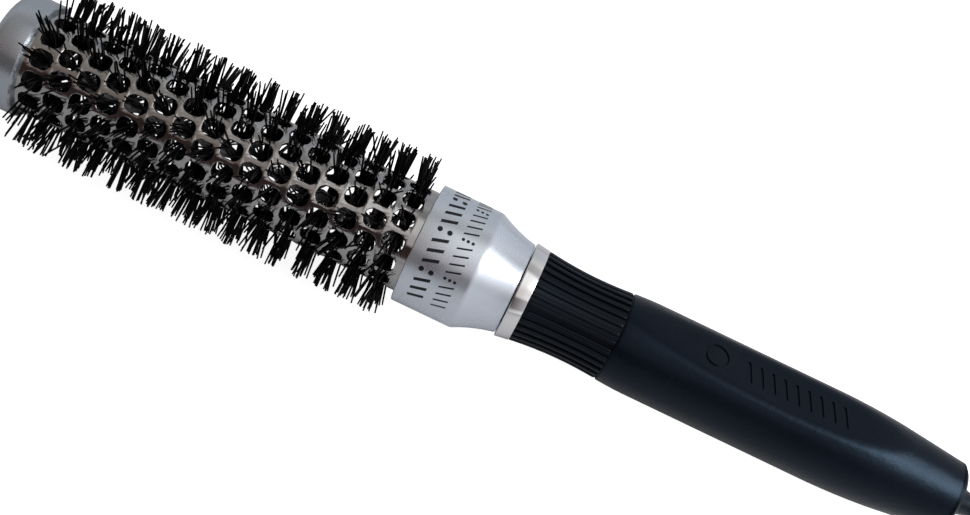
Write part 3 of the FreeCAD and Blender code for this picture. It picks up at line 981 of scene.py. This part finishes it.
def filament_path(dice, along, angle, tuft_lean):
    """Root on the stem, a point in the hole, and a tip on the even outer envelope."""
    middle = BARREL_RADIUS - SHEET_WALL / 2
    root = around(along + dice.uniform(-ROOT_SCATTER, ROOT_SCATTER), STEM_RADIUS,
                  angle + dice.uniform(-ROOT_TURN, ROOT_TURN))
    spread = math.sqrt(dice.random())
    turn_by = dice.uniform(0, 2 * math.pi)
    across = REACH_ALONG * spread * math.cos(turn_by)
    sideways = REACH_ROUND * spread * math.sin(turn_by)
    passing = around(along + across, middle, angle + sideways / middle)
    spreading = (passing - root).normalized()
    straight_out = around(0, 1, angle)
    lean = UNRULY_LEAN if dice.random() < UNRULY_SHARE else CALM_LEAN
    beyond = straight_out.lerp(spreading, FAN_OUT) + tuft_lean + any_way(dice, lean)
    beyond.normalize()
    wanted = dice.uniform(TIP_LOW, TIP_HIGH)
    length = FIRST_GUESS
    for _ in range(6):
        length += wanted - (passing + beyond * length).yz.length
    return root, passing, passing + beyond * length


def bend_along(corners, path):
    """Carry the corners of one straight filament onto its path."""
    root, passing, tip = path
    way = (tip - root).normalized()
    side = way.orthogonal().normalized()
    other = way.cross(side)
    for corner in corners:
        part = corner.co.z
        if part < 0.5:
            centre = root.lerp(passing, part * 2)
        else:
            centre = passing.lerp(tip, part * 2 - 1)
        corner.co = centre + side * corner.co.x + other * corner.co.y


# %% Fill each ring of holes
FIRST_SEED = 500


def make_bristle_ring(column):
    """All the tufts of one column of holes as one mesh."""
    dice = random.Random(FIRST_SEED + column)
    ring = copy_piece(filament, f"bristles_{column + 1:02d}")
    mesh = bmesh.new()
    for index in range(HOLES_ROUND):
        angle = hole_angle(column, index)
        tuft_lean = any_way(dice, TUFT_LEAN)
        for _ in range(FILAMENTS_EACH_HOLE):
            before = len(mesh.verts)
            mesh.from_mesh(filament.data)
            mesh.verts.ensure_lookup_table()
            path = filament_path(dice, column_place(column), angle, tuft_lean)
            bend_along(mesh.verts[before:], path)
    mesh.to_mesh(ring.data)
    mesh.free()
    finish_piece(ring, BLACK_NYLON, "brush", f"bristle_ring_{column + 1:02d}",
                 slot="bristle_nylon", angle=80)


for column in range(COLUMNS):
    make_bristle_ring(column)
bpy.data.objects.remove(filament)
off_centre = max(abs(sum(span(f"bristle_ring_{i + 1:02d}")) / 2 - column_place(i))
                 for i in range(COLUMNS))
print(f"tufts: {COLUMNS * HOLES_ROUND}, rings sit within {off_centre / MM:.2f} mm")

# %% [markdown]
# ## Collar
#
# The collar is a bell: a straight band that carries the print, a soft shoulder, and a
# hollow-sided cone down to the trim ring. A straight cone would mirror the room as
# straight streaks; the real one is drawn in a little, so its stations lie on a shallow
# arc worked out from the arc's two ends and its radius.

# %% Helper for a shallow arc between two stations
def shallow_arc(start, stop, bend, steps):
    """Stations from start to stop on an arc; a positive bend bulges away from the axis."""
    (x_start, r_start), (x_stop, r_stop) = start, stop
    chord = math.hypot(x_stop - x_start, r_stop - r_start)
    size = abs(bend)
    half = math.asin(chord / 2 / size)
    along_x, along_r = (x_stop - x_start) / chord, (r_stop - r_start) / chord
    stations = []
    for step in range(steps + 1):
        angle = half * (2 * step / steps - 1)
        ahead = chord / 2 + size * math.sin(angle)
        out = bend * (math.cos(angle) - math.cos(half))
        stations.append((x_start + along_x * ahead - along_r * out,
                         r_start + along_r * ahead + along_x * out))
    return stations


# %% Model the collar
LAND_REAR = COLLAR_FRONT + 15.2 * MM
CONE_END_RADIUS = 11.2 * MM
CONE_BEND = -35 * MM
CORE_BORE = 8.42 * MM
FRONT_LIP = 0.30 * MM
SHOULDER_ROUNDING = 0.55 * MM
CONE_LIP = 0.18 * MM

collar = turn("collar_bell", [
    (COLLAR_FRONT, BARREL_SEAT),
    (COLLAR_FRONT, LAND_RADIUS),
    *shallow_arc((LAND_REAR, LAND_RADIUS), (COLLAR_REAR, CONE_END_RADIUS), CONE_BEND, 10),
    (COLLAR_REAR, CORE_BORE),
    (BARREL_REAR, CORE_BORE),
    (BARREL_REAR, BARREL_SEAT),
], bored=True)
bevel_rim(collar, COLLAR_FRONT, LAND_RADIUS, FRONT_LIP, 4)
bevel_rim(collar, LAND_REAR, LAND_RADIUS, SHOULDER_ROUNDING, 6)
bevel_rim(collar, COLLAR_REAR, CONE_END_RADIUS, CONE_LIP, 3)
finish_piece(collar, COLLAR_SATIN, "brush", "collar", slot="collar_satin")

# %% [markdown]
# ## Print on the collar
#
# Two rows of dark print run round one half of the band. Here they are plain slanted bars
# and dots that say nothing. Print could be a pattern in the collar's finish, but then its
# edges would be as soft as the pattern is coarse. Ink has a real though tiny thickness,
# so each mark is a thin plate. All are laid out flat, copied from a bar and a dot, cut
# across so that they can bend, and rolled onto the band like the barrel sheet.

# %% Helpers for flat marks
INK = 0.03 * MM
PRINT_START = math.radians(-86)
SLANT = 0.30


def make_bar(length, width):
    """A slanted bar, long along X, with enough cuts to be rolled."""
    bar = flat_rectangle(length, width)
    start_edit(bar)
    bpy.ops.mesh.subdivide(number_cuts=3)
    end_edit()
    for corner in bar.data.vertices:
        corner.co.y += corner.co.x * SLANT
    return bar


def make_dot(radius):
    """A round dot."""
    clear_selection()
    bpy.ops.mesh.primitive_circle_add(vertices=20, radius=radius, fill_type="TRIFAN")
    return bpy.context.object


def lay_row(bar, dot, dot_places, place, pattern, step):
    """Lay a row of marks round the band: b is a bar, d a group of dots along the axis."""
    copies = []
    for index, kind in enumerate(pattern):
        mark, offsets = (bar, (0,)) if kind == "b" else (dot, dot_places)
        for offset in offsets:
            copied = copy_piece(mark, "mark")
            move_in_edit(copied, place + offset, PRINT_START * LAND_RADIUS + index * step)
            copies.append(copied)
    bpy.data.objects.remove(bar)
    bpy.data.objects.remove(dot)
    print(f"{len(copies)} marks, {step / MM:.2f} mm apart")
    return copies


# %% Lay two rows of marks
DOT_STEP = 1.2 * MM

bold_row = lay_row(make_bar(3.7 * MM, 0.80 * MM), make_dot(0.62 * MM), (DOT_STEP, -DOT_STEP),
                   COLLAR_FRONT + 5.0 * MM, "bbbdbbbdbbbdbbbdbbb", 2.5 * MM)
thin_row = lay_row(make_bar(3.4 * MM, 0.42 * MM), make_dot(0.38 * MM), (DOT_STEP, 0, -DOT_STEP),
                   COLLAR_FRONT + 10.7 * MM, "bbbbdbbbbdbbbbdbbbbdbbbb", 1.95 * MM)

# %% Give the marks their thickness and roll them on
collar_print = join_pieces(*bold_row, *thin_row)
collar_print.name = "collar_print"
apply_modifier(collar_print, "SOLIDIFY", thickness=INK, offset=1.0)
roll_up(collar_print, LAND_RADIUS)
finish_piece(collar_print, PRINT_INK, "brush", slot="collar_satin", angle=40)

# %% [markdown]
# ## Trim ring
#
# A bright plated band between collar and neck. It narrows a little towards the neck, and
# both its rims are rolled, so that the light draws a line along each. A mirror shows
# every flat facet, so this ring is turned with more sides than the collar.

# %% Model the trim ring
TRIM_WIDE = 11.9 * MM
TRIM_NARROW = 11.4 * MM

trim = turn("trim_band", [
    (TRIM_FRONT, CORE_BORE),
    (TRIM_FRONT, TRIM_WIDE),
    (TRIM_REAR, TRIM_NARROW),
    (TRIM_REAR, CORE_BORE),
], bored=True, sides=160)
bevel_rim(trim, TRIM_FRONT, TRIM_WIDE, 0.35 * MM, 6)
bevel_rim(trim, TRIM_REAR, TRIM_NARROW, 0.12 * MM, 3)
finish_piece(trim, TRIM_CHROME, "brush", "trim_ring", slot="trim_chrome")

# %% [markdown]
# ## Ribbed neck
#
# Thirty rubber ribs run along the neck, which is drawn in at its middle. A bump in the
# finish would shade like ribs, but the outline and the rims would stay smooth, so the
# ribs are real. A tube is turned with six faces to each rib. Three of the six are then
# raised as a rib, and the rim of each raised strip is bevelled until it is round. The
# ribs stop a little short of the handle and leave a groove there.

# %% Turn the neck
RIBS = 30
FACES_EACH_RIB = 6
RIB_HEIGHT = 0.65 * MM
RIB_ROUNDING = 0.52 * MM
RIB_STOP = 0.25 * MM
NECK_FRONT_RADIUS = 11.35 * MM
NECK_REAR_RADIUS = 10.9 * MM
NECK_BEND = -95 * MM

rib_end = GRIP_REAR - RIB_STOP
neck_line = shallow_arc((GRIP_FRONT, NECK_FRONT_RADIUS - RIB_HEIGHT),
                        (GRIP_REAR, NECK_REAR_RADIUS - RIB_HEIGHT), NECK_BEND, 14)
neck_line = [station for station in neck_line if station[0] < rib_end - 0.4 * MM]
last_radius = neck_line[-1][1]
neck = turn("ribbed_neck", [
    (GRIP_FRONT, CORE_BORE),
    *neck_line,
    (rib_end, last_radius + 0.08 * MM),
    (GRIP_REAR, last_radius + 0.10 * MM),
    (GRIP_REAR, CORE_BORE),
], bored=True, sides=RIBS * FACES_EACH_RIB)
print("neck faces before its ribs:", len(neck.data.polygons))


# %% Raise and round the ribs
def on_rib(face):
    """Three faces of every six, on the outside, as far as the ribs run."""
    middle = face.calc_center_median()
    outside = middle.yz.length > CORE_BORE + 0.5 * MM and abs(face.normal.x) < 0.5
    step = math.floor(math.atan2(middle.y, middle.z) / (2 * math.pi) * RIBS * FACES_EACH_RIB)
    return outside and middle.x < rib_end and step % FACES_EACH_RIB < FACES_EACH_RIB / 2


print("faces raised into ribs:", select_where(neck, "FACE", on_rib))
bpy.ops.mesh.extrude_region_shrink_fatten(TRANSFORM_OT_shrink_fatten={"value": RIB_HEIGHT})
bpy.ops.mesh.region_to_loop()
bpy.ops.mesh.bevel(offset=RIB_ROUNDING, segments=5, profile=0.5, affect="EDGES",
                   clamp_overlap=True)
end_edit()
finish_piece(neck, NECK_RUBBER, "brush", "neck_grip", slot="neck_rubber", angle=50)

# %% [markdown]
# ## Handle
#
# The soft-touch handle swells from the neck, runs straight and tapers to the tail. Two
# long shallow hollows, above and below, take thumb and finger. A boolean cut would leave
# a knife-sharp edge round each hollow, and the real edge is soft. So the handle is turned
# with close stations, and the hollows are pressed into it: each corner that stands
# above the hollow's floor comes down onto it, with a smooth blend at the edge.

# %% Turn the handle
SLEEVE_RADIUS = reach("handle_sleeve")
MOUTH_RADIUS = 10.95 * MM
SHOULDER_RADIUS = 10.4 * MM
TAIL_RADIUS = 8.45 * MM
SWELL_END = SLEEVE_FRONT + 8.0 * MM
STRAIGHT_END = SWELL_END + 44.4 * MM
SHOULDER_END = STRAIGHT_END + 17.7 * MM
SWELL_BEND = 92 * MM
SHOULDER_BEND = 174 * MM
STATION_STEP = 1.1 * MM
FLANGE_BORE = 4.92 * MM
FLANGE_DEPTH = 2.4 * MM
SOCKET_BORE = 6.42 * MM
SOCKET_DEPTH = 22.4 * MM


def even_stations(start, stop):
    """Stations at an even step on the straight line between two stations."""
    count = round((stop[0] - start[0]) / STATION_STEP)
    return [(start[0] + (stop[0] - start[0]) * index / count,
             start[1] + (stop[1] - start[1]) * index / count) for index in range(count + 1)]


mouth = (SLEEVE_FRONT, MOUTH_RADIUS)
swell = (SWELL_END, SLEEVE_RADIUS)
straight = (STRAIGHT_END, SLEEVE_RADIUS)
shoulder = (SHOULDER_END, SHOULDER_RADIUS)
handle = turn("handle_shell", [
    (SLEEVE_FRONT, CORE_BORE),
    *shallow_arc(mouth, swell, SWELL_BEND, 8),
    *even_stations(swell, straight)[1:],
    *shallow_arc(straight, shoulder, SHOULDER_BEND, 16)[1:],
    *even_stations(shoulder, (TAIL_FACE, TAIL_RADIUS))[1:],
    (TAIL_FACE, FLANGE_BORE),
    (TAIL_FACE - FLANGE_DEPTH, FLANGE_BORE),
    (TAIL_FACE - FLANGE_DEPTH, SOCKET_BORE),
    (TAIL_FACE - SOCKET_DEPTH, SOCKET_BORE),
    (TAIL_FACE - SOCKET_DEPTH, CORE_BORE),
], bored=True, sides=240)

# %% Round the tail and the mouth
TAIL_ROUNDING = 1.9 * MM
MOUTH_ROUNDING = 0.35 * MM

bevel_rim(handle, TAIL_FACE, TAIL_RADIUS, TAIL_ROUNDING, 10)
bevel_rim(handle, SLEEVE_FRONT, MOUTH_RADIUS, MOUTH_ROUNDING, 4)

# %% Press the thumb hollows
HOLLOW_CENTRE = SLEEVE_FRONT + 39.4 * MM
HOLLOW_FLOOR = 9.66 * MM
HOLLOW_BEND = 450 * MM
HOLLOW_BLEND = 0.7 * MM


def soft_minimum(first, second, blend):
    """The smaller of two values, with a smooth change from one to the other."""
    near = max(blend - abs(first - second), 0) / blend
    return min(first, second) - near * near * blend / 4


def hollow_height(along):
    """How high the floor of a hollow lies above the axis."""
    away = along - HOLLOW_CENTRE
    return HOLLOW_FLOOR + HOLLOW_BEND - math.sqrt(HOLLOW_BEND ** 2 - away ** 2)


pressed = 0
for corner in handle.data.vertices:
    if corner.co.yz.length > CORE_BORE + 0.1 * MM:
        height = abs(corner.co.z)
        lowered = soft_minimum(height, hollow_height(corner.co.x), HOLLOW_BLEND)
        pressed += lowered < height
        corner.co.z = math.copysign(min(lowered, height), corner.co.z)
handle.data.update()
print("corners pressed in:", pressed)

# %% [markdown]
# ## Mark in the hollow
#
# The upper hollow carries a shallow sunk mark: here a plain ring and a row of slanted
# strokes, the same family as the print on the collar. Each is a small solid that stands
# in the floor of the hollow, and one boolean takes them all away. The floor is slightly
# curved, so each stroke is set to the floor's height at its own place.

# %% Solids for the sunk mark
MARK_DEPTH = 0.35 * MM
MARK_HEIGHT = 5.4 * MM
MARK_STROKE = 0.80 * MM
MARK_STEP = 3.0 * MM
MARK_RING_RADIUS = 3.1 * MM
CUTTER_THICKNESS = 1.0 * MM
STROKES = 9


def stand_in_floor(cutter):
    """Give a flat outline its thickness and stand it in the floor of the hollow."""
    start_edit(cutter)
    bpy.ops.mesh.extrude_region_move(
        TRANSFORM_OT_translate={"value": (0, 0, CUTTER_THICKNESS)})
    end_edit(face_outwards=True)
    for corner in cutter.data.vertices:
        corner.co.z += hollow_height(corner.co.x) - MARK_DEPTH
    return cutter


def stroke_cutter(along):
    """A slanted stroke with round ends."""
    stroke = flat_rectangle(MARK_STROKE, MARK_HEIGHT)
    start_edit(stroke)
    bpy.ops.mesh.bevel(offset=0.49 * MARK_STROKE, segments=5, affect="VERTICES")
    end_edit()
    for corner in stroke.data.vertices:
        corner.co.x += along - SLANT * corner.co.y
    return stand_in_floor(stroke)


def ring_cutter(along, radius):
    """A ring with the same stroke."""
    clear_selection()
    bpy.ops.mesh.primitive_circle_add(vertices=48, radius=radius, fill_type="NGON")
    ring = bpy.context.object
    start_edit(ring)
    bpy.ops.mesh.inset(thickness=MARK_STROKE)
    bpy.ops.mesh.delete(type="FACE")
    end_edit()
    move_in_edit(ring, along)
    return stand_in_floor(ring)


# %% Sink the mark
ring_place = SLEEVE_FRONT + 22.0 * MM
first_stroke = SLEEVE_FRONT + 30.5 * MM
mark_cutter = join_pieces(
    ring_cutter(ring_place, MARK_RING_RADIUS),
    *[stroke_cutter(first_stroke + MARK_STEP * step) for step in range(STROKES)])
apply_modifier(handle, "BOOLEAN", operation="DIFFERENCE", solver="EXACT", object=mark_cutter)
bpy.data.objects.remove(mark_cutter)
finish_piece(handle, SOFT_TOUCH, "brush", "handle_sleeve", slot="soft_touch")

# %% [markdown]
# ## Knob of the pick
#
# The pick for parting hair is pulled out of the tail by this small knob: a flared foot, a
# waist for the finger nails and a ball. A ball, a cone and a disc joined together would
# meet in creases. One turned profile flows from foot to waist to ball, and starts down in
# the blind bore that holds the pick.

# %% Model the knob
KNOB_BORE = 1.52 * MM
BALL_RADIUS = 3.5 * MM
FOOT_RADIUS = 3.85 * MM
FLARE_RADIUS = 3.62 * MM
WAIST_RADIUS = 2.6 * MM
ball_centre = KNOB_END - BALL_RADIUS

knob = turn("pick_knob_shell", [
    (ball_centre + 0.1 * MM, KNOB_BORE),
    (KNOB_FRONT, KNOB_BORE),
    (KNOB_FRONT, FOOT_RADIUS),
    *shallow_arc((KNOB_FRONT + 0.9 * MM, FLARE_RADIUS),
                 (KNOB_FRONT + 4.2 * MM, WAIST_RADIUS), -14 * MM, 8),
    *shallow_arc((KNOB_FRONT + 4.6 * MM, WAIST_RADIUS + 0.08 * MM),
                 (ball_centre, BALL_RADIUS), 7 * MM, 6),
    *arc_stations(ball_centre, 0, BALL_RADIUS, 82, 6, 12),
], sides=64)
bevel_rim(knob, KNOB_FRONT, FOOT_RADIUS, 0.25 * MM, 4)
finish_piece(knob, GLOSS_PLASTIC, "pick", "pick_knob", slot="pick_plastic")

# %% [markdown]
# ## Floor
#
# The studio is pale and plain. A lit floor would turn grey in places, so what the camera
# sees of it glows a little; the brush sees only the plain pale surface, and mirrors that.

# %% Floor
FLOOR_GAP = 0.2 * MM
FLOOR_GLOW = 0.88
FLOOR_TONE = (0.66, 0.67, 0.69)


def make_floor():
    """A wide pale floor just under the brush."""
    clear_selection()
    bpy.ops.mesh.primitive_plane_add(size=6, location=(0, 0, cad_box[0][2] - FLOOR_GAP))
    floor = bpy.context.object
    floor.name = "studio_floor"
    material, tree, shader = new_material("pale_floor", FLOOR_TONE, 0.85)
    place = add_node(tree, "ShaderNodeTexCoord").outputs["Object"]
    clouds = add_node(tree, "ShaderNodeTexNoise", Vector=place, Scale=14.0, Detail=3.0)
    vary_color(tree, shader, clouds.outputs["Fac"], FLOOR_TONE, (0.64, 0.65, 0.675))
    shader.inputs["Emission Color"].default_value = (1, 1, 1, 1)
    seen = add_node(tree, "ShaderNodeLightPath").outputs["Is Camera Ray"]
    tree.links.new(weighted(tree, seen, FLOOR_GLOW), shader.inputs["Emission Strength"])
    floor.data.materials.append(material)
    floor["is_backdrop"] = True


make_floor()

# %% [markdown]
# ## Sky
#
# Polished metal looks like metal only when it has something bright and something dark to
# mirror. Walls and lamps all round could give that, but each would need its own place. A
# painted sky is simpler. Its tone depends on the turn about the brush's axis: bright
# overhead, grey behind, and one dark low band in front. A window and a wall are added
# over part of it, and both change along the axis. The camera itself sees plain white.

# %% Studio sky
SKY_STOPS = (
    (-180, (0.50, 0.51, 0.53)),
    (-92, (0.50, 0.51, 0.53)),
    (-86, (0.45, 0.44, 0.45)),
    (-80, (0.055, 0.034, 0.034)),
    (-54, (0.040, 0.024, 0.024)),
    (-48, (0.19, 0.135, 0.11)),
    (6, (0.25, 0.23, 0.20)),
    (14, (0.34, 0.33, 0.32)),
    (30, (0.38, 0.37, 0.36)),
    (40, (0.56, 0.56, 0.56)),
    (62, (0.43, 0.45, 0.48)),
    (180, (0.55, 0.57, 0.60)),
)
WINDOW_STOPS = (
    (-180, (0, 0, 0)),
    (-55, (0, 0, 0)),
    (-50, (0.52, 0.53, 0.55)),
    (-34, (0.56, 0.57, 0.59)),
    (-18, (0.94, 0.95, 0.97)),
    (6, (0.94, 0.95, 0.97)),
    (16, (0, 0, 0)),
)
WALL_STOPS = (
    (-180, (0.40, 0.41, 0.42)),
    (-56, (0.40, 0.41, 0.42)),
    (-30, (0.15, 0.15, 0.16)),
    (180, (0.15, 0.15, 0.16)),
)
WINDOW_SIDE = ((0.28, 0.03), (0.38, 0.14), (0.44, 0.40), (0.458, 0.86), (0.52, 0.76),
               (0.66, 0.72), (0.80, 0.90))
WALL_SIDE = ((0.50, 0.0), (0.62, 0.30), (0.78, 1.0))


def turn_ramp(tree, place, turn_stops):
    """A colour ramp whose stops are turns in degrees from straight up."""
    stops = [((degrees + 180) / 360, color) for degrees, color in turn_stops]
    return ramp_node(tree, place, stops)


def centred(tree, value, scale):
    """A signed value scaled and moved so that nought comes to lie at one half."""
    moved = math_node(tree, "MULTIPLY_ADD", value, scale)
    moved.node.inputs[2].default_value = 0.5
    return moved


def make_sky():
    """A sky that changes with the turn about the axis, and brightens towards the handle."""
    world = bpy.data.worlds.new("studio_sky")
    bpy.context.scene.world = world
    world.use_nodes = True
    tree = world.node_tree
    background = tree.nodes["Background"]
    way = add_node(tree, "ShaderNodeTexCoord").outputs["Generated"]
    parts = add_node(tree, "ShaderNodeSeparateXYZ", Vector=way).outputs
    place = centred(tree, math_node(tree, "ARCTAN2", parts["Y"], parts["Z"]), 0.5 / math.pi)
    sideways = centred(tree, parts["X"], 0.5)
    window = vector_node(tree, "MULTIPLY", turn_ramp(tree, place, WINDOW_STOPS),
                         ramp_node(tree, sideways, WINDOW_SIDE))
    wall = vector_node(tree, "MULTIPLY", turn_ramp(tree, place, WALL_STOPS),
                       ramp_node(tree, sideways, WALL_SIDE))
    lit = vector_node(tree, "ADD", turn_ramp(tree, place, SKY_STOPS), window)
    tree.links.new(vector_node(tree, "ADD", lit, wall), background.inputs["Color"])
    plain = add_node(tree, "ShaderNodeBackground", Color=(1.0, 1.0, 1.0, 1.0))
    seen = add_node(tree, "ShaderNodeLightPath").outputs["Is Camera Ray"]
    mix = tree.nodes.new("ShaderNodeMixShader")
    for socket, source in zip(mix.inputs, (seen, background.outputs[0], plain.outputs[0])):
        tree.links.new(source, socket)
    tree.links.new(mix.outputs[0], tree.nodes["World Output"].inputs["Surface"])
    print("sky:", len(tree.nodes), "nodes")


make_sky()

# %% [markdown]
# ## Lamps
#
# A sky alone gives no crisp highlights. Two small soft lamps add them: one high beyond the
# tail brightens collar and trim ring, and one close above the tail draws the bluish glow
# on the handle's end. Oval softboxes leave no straight edges in the reflections.

# %% Two soft lamps
def add_softbox(name, place, aim, long_side, short_side, power):
    """A soft oval lamp at a place, aimed at a point."""
    lamp = bpy.data.lights.new(name, "AREA")
    lamp.shape = "ELLIPSE"
    lamp.size = long_side
    lamp.size_y = short_side
    lamp.energy = power
    holder = bpy.data.objects.new(name, lamp)
    bpy.context.collection.objects.link(holder)
    holder.location = place
    holder.rotation_euler = (Vector(aim) - Vector(place)).to_track_quat("-Z", "Y").to_euler()
    print(f"{name}: {power} W")


add_softbox("high_softbox", (0.41, -0.135, 0.60), (0.01, 0, 0), 0.22, 0.18, 0.6)
add_softbox("tail_softbox", (0.20, -0.012, 0.13), (0.105, -0.003, 0.009), 0.12, 0.10, 0.18)

# %% [markdown]
# ## Camera
#
# The camera looks square at the brush's axis, from above and in front, and is rolled so
# that the brush lies askew in the picture. Three directions say all of it: where the
# camera lies, what is up for it and what is right. They are the columns of its matrix,
# which is easier to get right than three angles.

# %% Camera
TILT = math.radians(37.5)
LEAN = math.radians(25.58)
DISTANCE = 325 * MM
LENS_LENGTH = 51.96
SENSOR_WIDTH = 36
CENTRE_ALONG = 7.96 * MM
CENTRE_RISE = 3.51 * MM


def add_camera():
    """A camera square to the brush's axis, rolled so that the brush lies askew."""
    axis = Vector((1, 0, 0))
    sight = Vector((0, -math.sin(TILT), math.cos(TILT)))
    rise = Vector((0, math.cos(TILT), math.sin(TILT)))
    right = axis * math.cos(LEAN) + rise * math.sin(LEAN)
    up = rise * math.cos(LEAN) - axis * math.sin(LEAN)
    lens = bpy.data.cameras.new("studio_camera")
    lens.lens = LENS_LENGTH
    lens.sensor_width = SENSOR_WIDTH
    lens.clip_start = 0.01
    camera = bpy.data.objects.new("studio_camera", lens)
    bpy.context.collection.objects.link(camera)
    place = axis * CENTRE_ALONG + rise * CENTRE_RISE + sight * DISTANCE
    turned = Matrix((right, up, sight)).transposed().to_4x4()
    camera.matrix_world = Matrix.Translation(place) @ turned
    bpy.context.scene.camera = camera
    print("camera at", [round(value, 3) for value in place])


add_camera()
bpy.context.scene.view_settings.view_transform = "Standard"

# %% [markdown]
# ## Print the size
#
# The frame's box and the finished brush's box are printed side by side, so that the two
# can be compared.

# %% Print the boxes
final_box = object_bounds()
for label, box in (("frame", cad_box), ("brush", final_box)):
    print(label, [[round(value / MM, 1) for value in corner] for corner in box])
